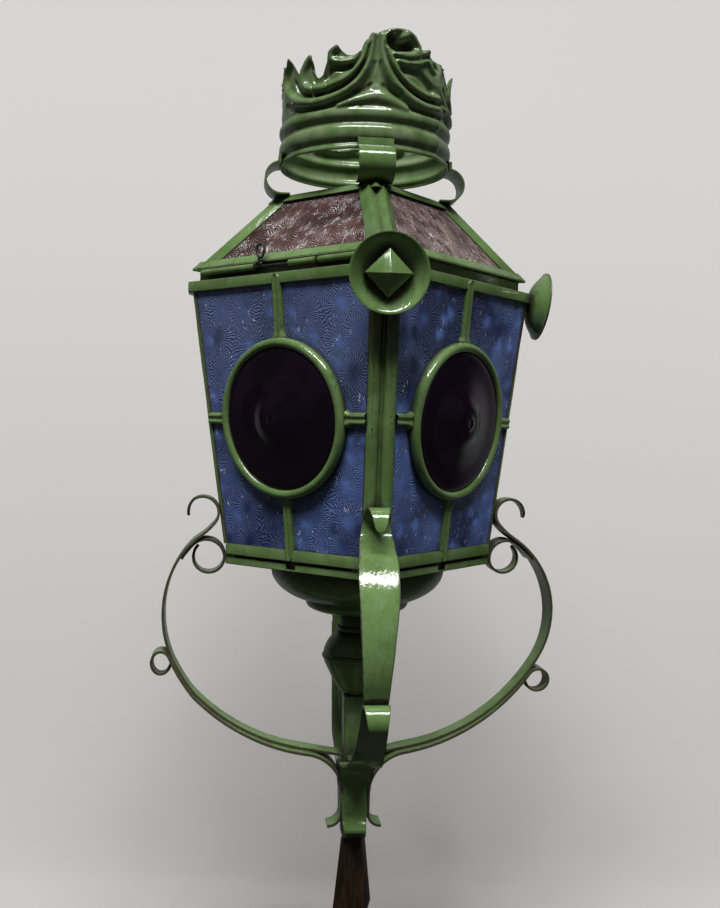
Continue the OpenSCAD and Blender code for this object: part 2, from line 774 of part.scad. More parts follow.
// Eave bars with their out-turned lip, and the skirt that stands over the top rail
module lid_frame() {
    lip = eave_w / 2;
    skirt = skirt_w / 2;
    bar_x = lip - eave_bar * cos(roof_slope);
    bar_z = eave_z + lip_t + eave_bar * sin(roof_slope);
    color(green) mitred_frame(lip + 1) polygon([
        [lip, eave_z], [lip, eave_z + lip_t], [bar_x, bar_z], [bar_x - 2 * skirt_wall, bar_z - 2 * lip_t],
        [skirt - skirt_wall, eave_z], [skirt - skirt_wall, top_z + lid_gap],
        [skirt, top_z + lid_gap], [skirt, eave_z]]);
}

module roof_top_frame() {
    half = roof_top_w / 2;
    low_x = half + top_bar_h / tan(roof_slope);
    color(green) mitred_frame(low_x + 1) polygon([
        [low_x, roof_top_z - top_bar_h], [half, roof_top_z], [vent_w / 2, roof_top_z],
        [vent_w / 2, roof_top_z - top_bar_h / 2], [half, roof_top_z - top_bar_h]]);
}

module roof_hip(k) {
    on_corner(k) translate([diagonal * roof_mid, 0, roof_mid_z]) rotate([0, hip_slope - 90, 0])
        translate([hip_stand, 0, 0]) linear_extrude(2 * roof_len, center = true)
            fluted_section(hip_ridge, hip_edge, hip_drop, hip_flute, hip_wall, hip_fall);
}

module roof_hips() {
    color(green) difference() {
        intersection() {
            union() for (k = [0:3]) roof_hip(k);
            slab(2 * body_top_w, eave_z + lip_t, roof_rise - lip_t);
        }
        lid_frame();
        roof_top_frame();
    }
}

// A roof pane, held between the hips, the eave bar and the top frame
module roof_pane(k) {
    slant = roof_run / roof_len;
    reach = roof_mid - hip_edge / 2;
    top = roof_len / 2;
    foot = top - eave_bar * 0.6;
    color(mauve_glass) difference() {
        on_roof(k) translate([0, 0, -pane_t]) linear_extrude(pane_t) polygon([
            [-reach - slant * foot, -foot], [reach + slant * foot, -foot],
            [reach - slant * top, top], [-reach + slant * top, top]]);
        roof_hip(k);
        roof_hip((k + 3) % 4);
        lid_frame();
        roof_top_frame();
    }
}

// A rolled knuckle with its leaf, between two places along the hinge axis
module knuckle(ends, bore_d, leaf_low, leaf_high) {
    len_x = ends[1] - ends[0];
    translate([ends[0], hinge_y, 0]) difference() {
        union() {
            translate([0, 0, hinge_z]) rotate([0, 90, 0]) cylinder(d = knuckle_d, h = len_x);
            translate([0, knuckle_d / 2 - leaf_t - leaf_in, leaf_low]) cube([len_x, leaf_t, leaf_high - leaf_low]);
        }
        translate([-1, 0, hinge_z]) rotate([0, 90, 0]) cylinder(d = bore_d, h = len_x + 2);
    }
}

module body_knuckle() {
    color(green) knuckle(body_knuckle_ends, wire_d + 2 * wire_play, top_z, hinge_z);
}

module lid_knuckles() {
    color(green) for (ends = lid_knuckle_ends) knuckle(ends, wire_d, hinge_z, eave_z);
}

// The hinge wire, its ends twisted together below an upright eye
module hinge_wire() {
    wire_x = lid_knuckle_ends[0][0];
    color(black_wire) union() {
        translate([wire_x, hinge_y, hinge_z]) rotate([0, 90, 0])
            cylinder(d = wire_d, h = lid_knuckle_ends[1][1] - wire_x);
        translate([eye_x, hinge_y - eye_out, hinge_z]) {
            cylinder(d = twist_d, h = eye_h - eye_w + wire_d / 2);
            translate([0, 0, eye_h - eye_w / 2]) rotate([90, 0, 0])
                rotate_extrude() translate([eye_w / 2 - wire_d / 2, 0]) circle(d = wire_d);
        }
    }
}

// One motif of the cresting, as angle from its middle and height over the band
crest_outline = [
    [-60, 33], [-53, 40], [-48, 44], [-45, 34], [-41, 25], [-35, 30], [-32, 42], [-26, 47], [-22, 41], [-16, 39],
    [-11, 45], [-4, 54], [5, 58], [13, 61], [20, 60], [26, 55], [29, 48], [33, 47], [37, 42], [43, 39], [48, 35],
    [53, 37], [60, 33]];
// Middle lines of the pressed ribs: two arms from the stem, a leaf along each arm, the rims of the
// lobes, the curl of the right leaf and the mound below the stem
crest_ribs = [
    [[1, 55], [-2, 42], [-14, 20], [-33, 10], [-60, 12]],
    [[4, 54], [6, 41], [17, 17], [39, 9], [60, 15]],
    [[-9, 43], [-14, 31], [-33, 21], [-60, 23]],
    [[12, 38], [27, 22], [39, 18], [60, 24]],
    [[-32, 37], [-26, 44], [-17, 37], [-8, 47]],
    [[-52, 32], [-46, 38], [-41, 24], [-36, 28]],
    [[9, 53], [14, 57], [20, 56], [26, 51]],
    [[11, 39], [20, 40], [30, 43], [38, 38]],
    [[43, 35], [48, 31], [53, 33], [59, 30]],
    [[-25, 3], [-11, 5], [0, 7], [11, 5], [24, 3]]];

// Beads of the band: height and radius of each, and how far its centre lies inside the wall
band_beads = [[2.8, 2.8, 1.5], [12.5, 5.5, 3.5], [band_h - 5, 3.5, 1.5]];
function bead_relief(z) = max([for (b = band_beads)
    abs(z - b[0]) < b[1] ? max(0, sqrt(b[1] * b[1] - pow(z - b[0], 2)) - b[2]) : 0]);
band_rows = concat([0], [for (b = band_beads, t = [-0.85, -0.45, 0, 0.45, 0.85]) b[0] + t * b[1]], [band_h]);
crest_rows = [0.06, 0.14, 0.23, 0.32, 0.41, 0.5, 0.59, 0.68, 0.77, 0.85, 0.93, 1];

// Relief of the ribs at a place on the unrolled sheet
function on_sheet(p) = [crown_r * p[0] * PI / 180, p[1] * crest_h / crest_outline[13][1]];
rib_lines = [for (rib = crest_ribs) [for (p = smooth(rib, 8)) on_sheet(p)]];
function line_distance(p, line) = min([for (i = [0:len(line) - 2])
    let (d = line[i + 1] - line[i], t = max(0, min(1, (p - line[i]) * d / (d * d)))) norm(p - line[i] - t * d)]);
function swell(x) = x < 1 ? pow(cos(90 * x), 2) : 0;
function rib_relief(p) = relief * max([for (line = rib_lines) swell(line_distance(p, line) / rib_w)]);

// Ribbed band of the crown with its pressed cresting, as one bent sheet
module crown() {
    inner_r = crown_r - crown_wall;
    edge = smooth(crest_outline, 44);
    columns = [for (k = [0:2], i = [0:43]) [120 * k + crown_turn - 90 + edge[i][0], edge[i]]];
    rows = concat(
        [for (z = band_rows) [for (c = columns) [c[0], crown_r + bead_relief(z), z]]],
        [for (t = crest_rows) [for (c = columns)
            let (place = on_sheet([c[1][0], c[1][1] * t])) [c[0], crown_r + rib_relief(place), band_h + place[1]]]]);
    top = last(rows);
    rings = concat(rows, [for (share = [1, 0.5, 0]) [for (p = top) [p[0], inner_r, p[2] * share]]]);
    n = len(columns);
    points = [for (ring = rings, p = ring) [p[1] * cos(p[0]), p[1] * sin(p[0]), p[2]]];
    faces = [for (i = [0:len(rings) - 1], j = [0:n - 1])
        let (a = i * n + j, b = i * n + (j + 1) % n, m = (i + 1) % len(rings), c = m * n + (j + 1) % n, d = m * n + j)
        each [[a, c, b], [a, d, c]]];
    color(green) translate([0, 0, crown_z]) polyhedron(points, faces, convexity = 12);
}

// Straps that carry the crown: a tab on the crown wall, a round bulge, a foot on the roof corner
module crown_straps() {
    rim_r = crown_r + band_beads[0][1] - band_beads[0][2];
    tab_lap = 1;
    foot_len = 7;
    foot_z = roof_top_z + strap_t / 2;
    loop_top = crown_z + tab_lap;
    loop_r = (loop_top - foot_z) / 2;
    color(green) difference() {
        for (k = [0:3]) on_corner(k) translate([rim_r - tab_lap, strap_w / 2, 0]) rotate([90, 0, 0])
            linear_extrude(strap_w) {
                translate([0, foot_z + loop_r]) intersection() {
                    difference() {
                        circle(r = loop_r + strap_t / 2);
                        circle(r = loop_r - strap_t / 2);
                    }
                    translate([0, -2 * loop_r]) square([2 * loop_r, 4 * loop_r]);
                }
                translate([0, loop_top - strap_t / 2]) square([strap_t + tab_lap, strap_tab]);
                translate([-foot_len, roof_top_z]) square([foot_len + eps, strap_t]);
            }
        translate([0, 0, crown_z]) cylinder(r = rim_r, h = band_h);
    }
}

staff_block();
socket();
knop_lower();
knop_upper();
neck();
bowl();
base_plate();
base_frame();
top_frame();
for (k = [0:3]) {
    corner_post(k);
    glazing_bars(k);
    eye_ring(k);
    bulls_eye(k);
    body_panes(k);
    bracket_main(k);
    bracket_outer(k);
    bracket_scroll(k);
    roof_pane(k);
}
for (k = ROSETTES) {
    rosette(k);
}
rosette_studs();
body_knuckle();
candle_holder();
candle();
wick();
lid_frame();
roof_top_frame();
roof_hips();
lid_knuckles();
hinge_wire();
crown();
crown_straps();
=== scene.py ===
from math import ceil, cos, degrees, exp, radians, sin, sqrt

import bmesh
import bpy
from mathutils import Matrix, Vector, noise


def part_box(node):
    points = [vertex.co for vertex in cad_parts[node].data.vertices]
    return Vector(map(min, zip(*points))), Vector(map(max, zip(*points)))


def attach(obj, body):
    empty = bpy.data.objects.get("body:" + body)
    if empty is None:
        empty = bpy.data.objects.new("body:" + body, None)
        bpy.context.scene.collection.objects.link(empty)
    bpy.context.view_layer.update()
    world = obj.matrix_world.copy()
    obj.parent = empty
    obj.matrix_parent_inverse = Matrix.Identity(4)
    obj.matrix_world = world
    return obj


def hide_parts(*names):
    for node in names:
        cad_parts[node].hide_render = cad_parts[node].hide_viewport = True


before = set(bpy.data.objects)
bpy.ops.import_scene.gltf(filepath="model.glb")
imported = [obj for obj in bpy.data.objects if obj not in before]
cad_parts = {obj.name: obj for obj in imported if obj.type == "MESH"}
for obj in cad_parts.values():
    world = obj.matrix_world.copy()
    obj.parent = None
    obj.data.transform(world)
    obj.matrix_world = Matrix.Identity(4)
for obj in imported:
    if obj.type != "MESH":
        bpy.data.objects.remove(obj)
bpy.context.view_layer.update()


# The staff's head is a square block of dark hardwood that tapers towards the socket, rubbed round along its
# edges by hands. It is planed from one piece, with a round tenon at each end, so its grain runs upright.
MM = 0.001
DARK_GRAIN = (0.009, 0.005, 0.002, 1)
BROWN_GRAIN = (0.030, 0.016, 0.006, 1)
RUBBED_WOOD = (0.055, 0.035, 0.020, 1)
SHARP, CREASE = 28, 40


def round_edges(shape, edges, width, segments):
    """Rounds edges over by a width in mm and returns the new faces."""
    return bmesh.ops.bevel(shape, geom=edges, offset=width * MM, segments=segments, profile=0.5, affect="EDGES",
                           material=-1, clamp_overlap=True)["faces"]


def rounded_copy(node, width):
    """The shape of a CAD node with its sharp edges rounded over. The layer "edge" is 1 along the roundings."""
    shape = bmesh.new()
    shape.from_mesh(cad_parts[node].data)
    bmesh.ops.remove_doubles(shape, verts=shape.verts, dist=1e-6)
    bmesh.ops.dissolve_limit(shape, angle_limit=radians(0.4), verts=shape.verts, edges=shape.edges)
    edge = shape.verts.layers.float.new("edge")
    sharp = [e for e in shape.edges if len(e.link_faces) == 2 and e.calc_face_angle(0) > radians(SHARP)]
    rounded = set(round_edges(shape, sharp, width, 3))
    for vert in shape.verts:
        vert[edge] = float(all(face in rounded for face in vert.link_faces))
    return shape


def set_up(name, data):
    """A new object in the scene."""
    made = bpy.data.objects.new(name, data)
    bpy.context.scene.collection.objects.link(made)
    return made


def new_object(name, shape, finish):
    """The object of a finished shape."""
    mesh = bpy.data.meshes.new(name)
    shape.to_mesh(mesh)
    shape.free()
    mesh.shade_smooth()
    mesh.set_sharp_from_angle(angle=radians(CREASE))
    mesh.materials.append(finish)
    return set_up(name, mesh)


def set_piece(name, shape, finish, slot, body, *nodes):
    """Makes a piece, puts it on its body, and hides the nodes that it stands for."""
    made = new_object(name, shape, finish)
    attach(made, body)
    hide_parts(*nodes)
    return made


class Thread:
    """A socket in a finish's nodes. Sums on it add Math nodes, and node() adds any other node."""

    def __init__(self, socket):
        self.socket = socket

    def node(self, kind, settings=(), inputs=(), out=0):
        tree = self.socket.id_data
        made = tree.nodes.new("ShaderNode" + kind)
        for name, value in dict(settings).items():
            setattr(made, name, value)
        for name, value in dict(inputs).items():
            if isinstance(value, Thread):
                tree.links.new(value.socket, made.inputs[name])
            else:
                made.inputs[name].default_value = value
        return Thread(made.outputs[out])

    def maths(self, operation, *values):
        return self.node("Math", {"operation": operation}, dict(enumerate(values)))

    def __add__(self, other):
        return self.maths("ADD", self, other)

    __radd__ = __add__

    def __sub__(self, other):
        return self.maths("SUBTRACT", self, other)

    def __rsub__(self, other):
        return self.maths("SUBTRACT", other, self)

    def __mul__(self, other):
        return self.maths("MULTIPLY", self, other)

    __rmul__ = __mul__

    def step(self, low, high):
        """Rises smoothly from 0 at low to 1 at high."""
        return self.node("MapRange", {"interpolation_type": "SMOOTHSTEP"},
                         {"Value": self, "From Min": low, "From Max": high})

    def stretch(self, scale, turn=(0, 0, 0)):
        return self.node("Mapping", (), {"Vector": self, "Scale": scale, "Rotation": turn})

    def noise(self, scale, detail=3, roughness=0.55):
        return self.node("TexNoise", (), {
            "Vector": self, "Scale": scale, "Detail": detail, "Roughness": roughness})

    def along(self, axis):
        return self.node("SeparateXYZ", (), {0: self}, axis)

    def hollow(self, reach):
        """From 0 in the open to 1 where the surface is shut in by others within reach."""
        return 1 - self.node("AmbientOcclusion", {"samples": 8}, {"Distance": reach}, "AO")

    def ray(self, kind):
        """1 for light of one kind, such as what the camera sees, and 0 for other light."""
        return self.node("LightPath", (), (), f"Is {kind} Ray")

    def vector(self, operation, other, out=0):
        return self.node("VectorMath", {"operation": operation}, {0: self, 1: other}, out)

    def mix(self, share, first, second):
        """A colour between two others, by a share that may change over the surface."""
        return self.node("Mix", {"data_type": "RGBA"}, {0: share, 6: first, 7: second}, 2)

    def coat(self, *coats):
        """This colour with others laid over it, each as (share, colour)."""
        colour = self
        for share, tone in coats:
            colour = self.mix(share, colour, tone)
        return colour

    def bump(self, distance, strength):
        return self.node("Bump", (), {"Height": self, "Distance": distance, "Strength": strength})

    def feed(self, shader, name):
        self.socket.id_data.links.new(self.socket, shader.inputs[name])


def new_finish(name, **fixed):
    """A finish with its Object coordinates at one end and its shader, with even values set, at the other."""
    finish = bpy.data.materials.new(name)
    finish.use_nodes = True
    shader = finish.node_tree.nodes["Principled BSDF"]
    for key, value in fixed.items():
        shader.inputs[key.replace("_", " ")].default_value = value
    return finish, Thread(finish.node_tree.nodes.new("ShaderNodeTexCoord").outputs["Object"]), shader


def lay_on(shader, colour, roughness, relief, depth, strength):
    """Feeds a finish's shader its colour, roughness and relief."""
    colour.feed(shader, "Base Color")
    roughness.feed(shader, "Roughness")
    relief.bump(depth, strength).feed(shader, "Normal")


brown_wood, place, wood = new_finish("brown_wood", Specular_IOR_Level=0.3)
grain = place.stretch((420, 420, 14)).noise(1, 5, 0.6)
rub = place.noise(38, 4)
colour = place.mix(grain.step(0.35, 0.7), DARK_GRAIN, BROWN_GRAIN).coat((rub.step(0.55, 0.8), RUBBED_WOOD))
lay_on(wood, colour, 0.3 + 0.3 * grain, grain + 0.6 * place.noise(160, 3), 0.0005, 0.55)

set_piece("staff_head", rounded_copy("staff_block", 1.6), brown_wood, "brown_wood", "lantern", "staff_block")


# The stem is tinplate: a square socket folded round the staff's tenon, a knop of two raised halves soldered
# together at a beaded seam, and a collar and neck. All of it is brushed over with thick green oil enamel.
DEEP_GREEN = (0.090, 0.168, 0.046, 1)
LEAF_GREEN = (0.152, 0.258, 0.086, 1)
WORN_GREEN = (0.196, 0.290, 0.136, 1)
BRUSHED_GREEN = (0.070, 0.132, 0.030, 1)
PALE_DUST = (0.255, 0.315, 0.195, 1)
STAIN = (0.060, 0.092, 0.026, 1)
RUST_AND_SHADE_RUN = (0.034, 0.026, 0.011, 1)
CAKED_DIRT = (0.030, 0.023, 0.010, 1)
BARE_TIN = (0.052, 0.043, 0.026, 1)
RUN_LOW, RUN_HIGH = 0.478, 0.542


def enamel_finish(name, soot_and_shade, dust, rust_and_shade=0.0):
    """The green paint, with painted shade in its hollows and all over it by a share of soot_and_shade, pale dust where
    it is worn and a run of rust and painted shade down it.
    """
    finish, place, enamel = new_finish(name, Specular_IOR_Level=0.55)
    patches = place.noise(11, 4, 0.6)
    mottle = place.noise(70, 4)
    specks = place.noise(420, 2)
    brush = place.stretch((430, 430, 28)).noise(1, 3, 0.5)
    hollow = place.hollow(0.018)
    edge = place.node("Attribute", {"attribute_name": "edge"}, (), "Fac")
    joint = place.hollow(0.008)
    # Painted shade: darker where other parts shut the surface in, and more so all over by the share of soot and shade.
    painted_shade = (hollow + 0.4 * mottle - 0.2 + soot_and_shade).step(0.26, 0.85)
    caked = (joint + 0.6 * mottle - 0.3).step(0.16, 0.5)
    stain = place.noise(34, 5, 0.65).step(0.5, 0.66)
    chips = (specks + 0.22 * edge).step(0.66, 0.72) * patches.step(0.42, 0.55)
    bare = (0.75 * edge + mottle).step(0.93, 1.2) + chips
    black = (0.012 + 0.02 * soot_and_shade, 0.011 + 0.016 * soot_and_shade, 0.005 + 0.004 * soot_and_shade, 1)
    colour = place.mix(patches.step(0.32, 0.68), DEEP_GREEN, LEAF_GREEN).coat(
        (0.45 * mottle.step(0.48, 0.75), WORN_GREEN),
        (0.45 * brush.step(0.5, 0.8), BRUSHED_GREEN),
        (dust * (mottle + 0.5 * patches).step(0.5, 0.95), PALE_DUST),
        (0.42 * stain, STAIN))
    if rust_and_shade:
        # A run of rust and of the rosette's painted shade, darker towards the top of the post.
        run = (place.along(2) + 0.05 * (brush - 0.5) + 0.03 * (mottle - 0.5)).step(RUN_LOW, RUN_HIGH)
        colour = colour.coat((rust_and_shade * run, RUST_AND_SHADE_RUN))
    colour = colour.coat((0.96 * painted_shade, black), (0.8 * caked, CAKED_DIRT), (0.85 * bare, BARE_TIN))
    lay_on(enamel, colour, 0.06 + 0.09 * mottle + 0.4 * bare + 0.35 * painted_shade + 0.3 * caked,
           0.7 * brush + 1.4 * mottle + 0.1 * specks - 0.3 * bare, 0.0006, 0.4)
    return finish


def paint_nodes(paint, body, widths):
    """Stands painted copies before CAD nodes, their edges rounded over by a width in mm for each."""
    for node, width in widths.items():
        set_piece("painted_" + node, rounded_copy(node, width), paint, "green_enamel", body, node)


green_enamel = enamel_finish("green_enamel", 0.0, 0.04)
# The stem and bowl are darkened all over, partly soot and partly painted shade of the body above them.
soot_and_shade_enamel = enamel_finish("soot_and_shade_enamel", 0.45, 0.0)
paint_nodes(soot_and_shade_enamel, "lantern", {"socket": 1.2, "knop_lower": 0.35, "knop_upper": 0.35, "neck": 0.8})


# The bowl below the body is spun from sheet and stepped where it meets the neck; its floor plate closes the
# body above it. Both are painted with the stem.
paint_nodes(soot_and_shade_enamel, "lantern", {"bowl": 0.4, "base_plate": 0.3})


# The base rail and the top rail are square frames of folded sheet with cut corners. The base rail stands on a
# flange, with a groove between the two, and solder fills the folds.
paint_nodes(green_enamel, "lantern", {"base_frame": 0.7, "top_frame": 1.0})


# Four corner posts of sheet, folded to a double ridge with a flute between and a return along each side, lean out
# from the base rail to the top rail and are soldered to both. Those below a rosette carry a run of rust and of painted
# shade from it.
CORNERS = ["front_right", "back_right", "back_left", "front_left"]
POST_SIDE = [(-5.2, 8.6), (-2.9, 10.9), (-1.5, 9.8), (-0.3, 8.2), (0, 6.8), (-0.2, 5), (-0.6, 3.6), (-1.6, 2.2),
             (-3.2, 0.9), (-3.6, 0)]
POST_LINE = [(x, -y) for x, y in POST_SIDE] + [(x, y) for x, y in POST_SIDE[-2::-1]]
POST_RIDGE, POST_RETURN = 6.8, 10.7
POST_HALF = 102.6
POST_REACH = 125
POST_LEAN = 7.813
POST_SHEET = 0.8
BODY_MIDDLE = 468


def smooth_share(values, share):
    """A smooth curve through values, read at a share of its length."""
    last = len(values) - 1
    i = min(int(share * last), last - 1)
    t = share * last - i
    a, b, c, d = values[max(i - 1, 0)], values[i], values[i + 1], values[min(i + 2, last)]
    return 0.5 * (2 * b + (c - a) * t + (2 * a - 5 * b + 4 * c - d) * t ** 2 + (3 * b - a - 3 * c + d) * t ** 3)


def place_on(line, share):
    """The place on a smooth line through points, at a share of their count."""
    return tuple(smooth_share(values, share) for values in zip(*line))


def about(axis, angle):
    return Matrix.Rotation(radians(angle), 4, axis)


def corner_place(k, reach=0, high=0, lean=0):
    """From a piece's own place, with X out of a corner, to the lantern."""
    return about("Z", 90 * k - 45) @ Matrix.Translation((reach * MM, 0, high * MM)) @ about("Y", lean)


def fluted_post(seed):
    """A post along Z, with X out of the corner."""
    post = bmesh.new()
    edge = post.verts.layers.float.new("edge")
    bmesh.ops.create_grid(post, x_segments=54, y_segments=40, size=1)
    for vert in post.verts:
        x, y = place_on(POST_LINE, (vert.co.x + 1) / 2)
        up = vert.co.y * POST_HALF
        dent = 0.3 * noise.noise(Vector((up * 0.03, y * 0.2, seed)))
        vert[edge] = max(0.0, 1 - abs(abs(y) - POST_RETURN) / 1.2, 0.6 - abs(abs(y) - POST_RIDGE) / 2.5)
        vert.co = Vector((x + dent, y, up)) * MM
    bmesh.ops.recalc_face_normals(post, faces=post.faces)
    bmesh.ops.solidify(post, geom=post.faces, thickness=POST_SHEET * MM)
    return post


rust_and_shade_enamel = enamel_finish("rust_and_shade_enamel", 0.0, 0.04, 0.8)
for k, corner in enumerate(CORNERS):
    post = fluted_post(3 * k)
    post.transform(corner_place(k, POST_REACH, BODY_MIDDLE, POST_LEAN))
    paint = green_enamel if corner == "front_left" else rust_and_shade_enamel
    set_piece("post_" + corner, post, paint, "green_enamel", "lantern", "corner_post_" + corner)


# The eye rings are half-round wire, bent to a circle and soldered to the glazing bars. The bars are strip, fluted
# along the middle: each swells into solder at the ring, and the uprights lap over both rails as rounded tabs.
FACES = ["front", "right", "back", "left"]
RING_REACH = 61.5
BAR_WIDTH = 9.5
BAR_HEIGHT = 3.6
BAR_UNDER_RING = 3
BAR_UP, BAR_DOWN = 109.6, 109.8
BAR_SHORT = 0.3
FILLET_WIDTH, FILLET_HEIGHT = 2.2, 0.9
TAB_ROUND = 3.2
FACE_REACH = 93.7
FACE_LEAN = 5.542


def face_place(k):
    """From the plane of a face, with Y up it and Z out of it, to the lantern."""
    centre = Matrix.Translation((0, -FACE_REACH * MM, BODY_MIDDLE * MM))
    return about("Z", 90 * k) @ centre @ about("X", 90 + FACE_LEAN)


def bar_arm(length, lap):
    """One arm of the cross, along +Y from the ring to its far end."""
    arm = bmesh.new()
    bmesh.ops.create_grid(arm, x_segments=14, y_segments=40, size=1)
    edge = arm.verts.layers.float.new("edge")
    start = RING_REACH - BAR_UNDER_RING
    for vert in arm.verts:
        across, along = vert.co.x, (vert.co.y + 1) / 2
        y = start + (length - start) * along
        from_ring = max(0, y - RING_REACH)
        half = BAR_WIDTH / 2 + FILLET_WIDTH * exp(-(from_ring / 3.0) ** 2)
        if lap:
            half *= sqrt(max(0.02, 1 - max(0, 1 - (length - y) / TAB_ROUND) ** 2))
        height = BAR_HEIGHT + FILLET_HEIGHT * exp(-(from_ring / 2.6) ** 2)
        rise = (1 - abs(across) ** 5) ** 0.8 * (1 - 0.3 * exp(-(across / 0.32) ** 2))
        wave = 0.22 * noise.noise(Vector((length, y * 0.11, across * 0.4)))
        vert.co = Vector((across * half + wave, y, height * rise + 0.35 * wave)) * MM
        vert[edge] = max(0.0, 1 - abs(abs(across) - 0.75) * 6)
    return arm


def joined(*shapes):
    """Several shapes in one."""
    whole = bmesh.new()
    whole.verts.layers.float.new("edge")
    for shape in shapes:
        holder = bpy.data.meshes.new("holder")
        shape.to_mesh(holder)
        shape.free()
        whole.from_mesh(holder)
        bpy.data.meshes.remove(holder)
    return whole


for k, face in enumerate(FACES):
    low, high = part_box("glazing_bars_" + face)
    sideways = max(high.x - low.x, high.y - low.y) / 2 / MM - BAR_SHORT
    arms = []
    for turn, length, lap in [
            (0, BAR_UP, True), (90, sideways, False), (180, BAR_DOWN, True), (270, sideways, False)]:
        arms.append(bar_arm(length, lap))
        arms[-1].transform(face_place(k) @ about("Z", turn))
    set_piece("bars_" + face, joined(*arms), green_enamel, "green_enamel", "lantern", "glazing_bars_" + face)
    set_piece("ring_" + face, rounded_copy("eye_ring_" + face, 0.3), green_enamel, "green_enamel", "lantern",
              "eye_ring_" + face)


# The bull's-eyes are bell-shaped domes of thick violet glass, nearly black, each with the knob that the pontil left
# in its middle. They are blown, ground round the edge and puttied into the rings from the front.
DOME_LINE = [(0, 14.1), (2, 14.4), (3.6, 14.9), (5, 14.5), (7, 14.0), (12, 13.5), (14.5, 12.8), (18, 11.5),
             (21.5, 10.2), (25, 9.3), (30, 8.2), (35, 7.3), (40, 6.7), (46, 6.3), (52, 5.8), (54.2, 4.5), (54.6, 0)]
NEARLY_BLACK = (0.0011, 0.0003, 0.0019, 1)
SWIRL_VIOLET = (0.0048, 0.0009, 0.0062, 1)
PAINTED_RIM_LIGHT_VIOLET = (0.0120, 0.0022, 0.0155, 1)
PAINTED_TOP_LIGHT_VIOLET = (0.0150, 0.0034, 0.0210, 1)


def spun(line, count):
    """A line of (reach, height) turned round the Z axis."""
    turned = bmesh.new()
    edge = turned.verts.layers.float.new("edge")
    places = [place_on(line, i / count) for i in range(count + 1)]
    verts = [turned.verts.new(Vector((max(0, reach), 0, high)) * MM) for reach, high in places]
    verts[-1][edge] = 1.0
    joins = [turned.edges.new(pair) for pair in zip(verts, verts[1:])]
    bmesh.ops.spin(turned, geom=verts + joins, axis=(0, 0, 1), angle=radians(360), steps=72, use_merge=True)
    bmesh.ops.remove_doubles(turned, verts=turned.verts, dist=1e-6)
    bmesh.ops.recalc_face_normals(turned, faces=turned.faces)
    return turned


violet_glass, place, eye = new_finish("violet_glass", IOR=1.5)
swirl = place.noise(26, 3)
# Painted light: the border of each dome, where it is seen edge-on, and its upper half are painted a lighter violet, as
# light through the glass.
painted_rim_light = place.node("LayerWeight", (), {"Blend": 0.35}, "Facing")
upper = place.along(2).step(0.44, 0.53)
colour = place.mix(swirl.step(0.35, 0.7), NEARLY_BLACK, SWIRL_VIOLET).coat(
    (0.8 * painted_rim_light.step(0.1, 0.8), PAINTED_RIM_LIGHT_VIOLET), (0.6 * upper * swirl.step(0.3, 0.6), PAINTED_TOP_LIGHT_VIOLET))
lay_on(eye, colour, 0.07 + 0.1 * place.noise(55, 4), swirl + 0.05 * place.noise(260, 2), 0.0012, 0.25)
for k, face in enumerate(FACES):
    dome = spun(DOME_LINE, 60)
    dome.transform(face_place(k))
    set_piece("bulls_eye_glass_" + face, dome, violet_glass, "violet_glass", "lantern", "bulls_eye_" + face)


# The panes round each bull's-eye are blue sheet glass, rolled with a starburst pattern: smooth spots with fine
# ridges that run out from them. They are cut to the ring and held by the bars.
RAYS = 35
SPOT_SHARE, RIDGE_SHARE = 0.16, 0.54
BLUE_SPACING = 0.0225
DEEP_BLUE, MID_BLUE = (0.022, 0.038, 0.135, 1), (0.092, 0.146, 0.385, 1)
LIT_DEEP_BLUE, LIT_BLUE = (0.018, 0.032, 0.135, 1), (0.140, 0.228, 0.590, 1)
SPOT_BLUE, LIT_SPOT_BLUE = (0.135, 0.235, 0.610, 1), (0.205, 0.345, 0.900, 1)
DARK_SPOT_BLUE = (0.014, 0.024, 0.080, 1)
GROOVE_BLUE, RIDGE_BLUE = (0.012, 0.020, 0.068, 1), (0.235, 0.295, 0.490, 1)
PAINTED_REFLECTION_BLUE = (0.290, 0.320, 0.420, 1)
BLUE_GLINT = (0.820, 0.850, 0.920, 1)
PANE_DIRT_AND_SHADE = (0.010, 0.013, 0.022, 1)


def starburst(place, size):
    """Ridges from 0 to 1 that run out from spots, the share of them at a place, and a tint for each spot."""
    cells = {"Vector": place, "Scale": 1 / size, "Randomness": 0.75}
    spot = place.node("TexVoronoi", {"feature": "F1"}, cells, "Position")
    tint = place.node("SeparateColor", (), {0: place.node("TexVoronoi", {"feature": "F1"}, cells, "Color")}, 0)
    normal = place.node("NewGeometry", (), (), "True Normal")
    aside = normal.vector("CROSS_PRODUCT", (0, 0, 1)).vector("NORMALIZE", (0, 0, 0))
    away = place.vector("SUBTRACT", spot)
    u = away.vector("DOT_PRODUCT", aside, 1)
    v = away.vector("DOT_PRODUCT", normal.vector("CROSS_PRODUCT", aside), 1)
    reach = u.maths("SQRT", u * u + v * v)
    bend = place.noise(210, 3)
    turn = u.maths("ARCTAN2", v, u)
    wave = turn.maths("SINE", RAYS * turn + 15 * bend + 20 * tint)
    ridges = 0.5 + 0.5 * wave
    fade = (reach - SPOT_SHARE * size * ridges + 0.010 * bend).step(SPOT_SHARE * size, RIDGE_SHARE * size)
    return ridges, fade, tint


def right_side(place):
    """1 on the right side of the lantern, which the light falls through more, and 0 on the others."""
    return (place.along(0) - place.maths("ABSOLUTE", place.along(1))).step(0, 0.004)


def glaze(nodes, glass):
    """Gives the panes of all four sides their glass."""
    for face in FACES:
        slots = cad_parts[nodes + face].data.materials
        slots.clear()
        slots.append(glass)


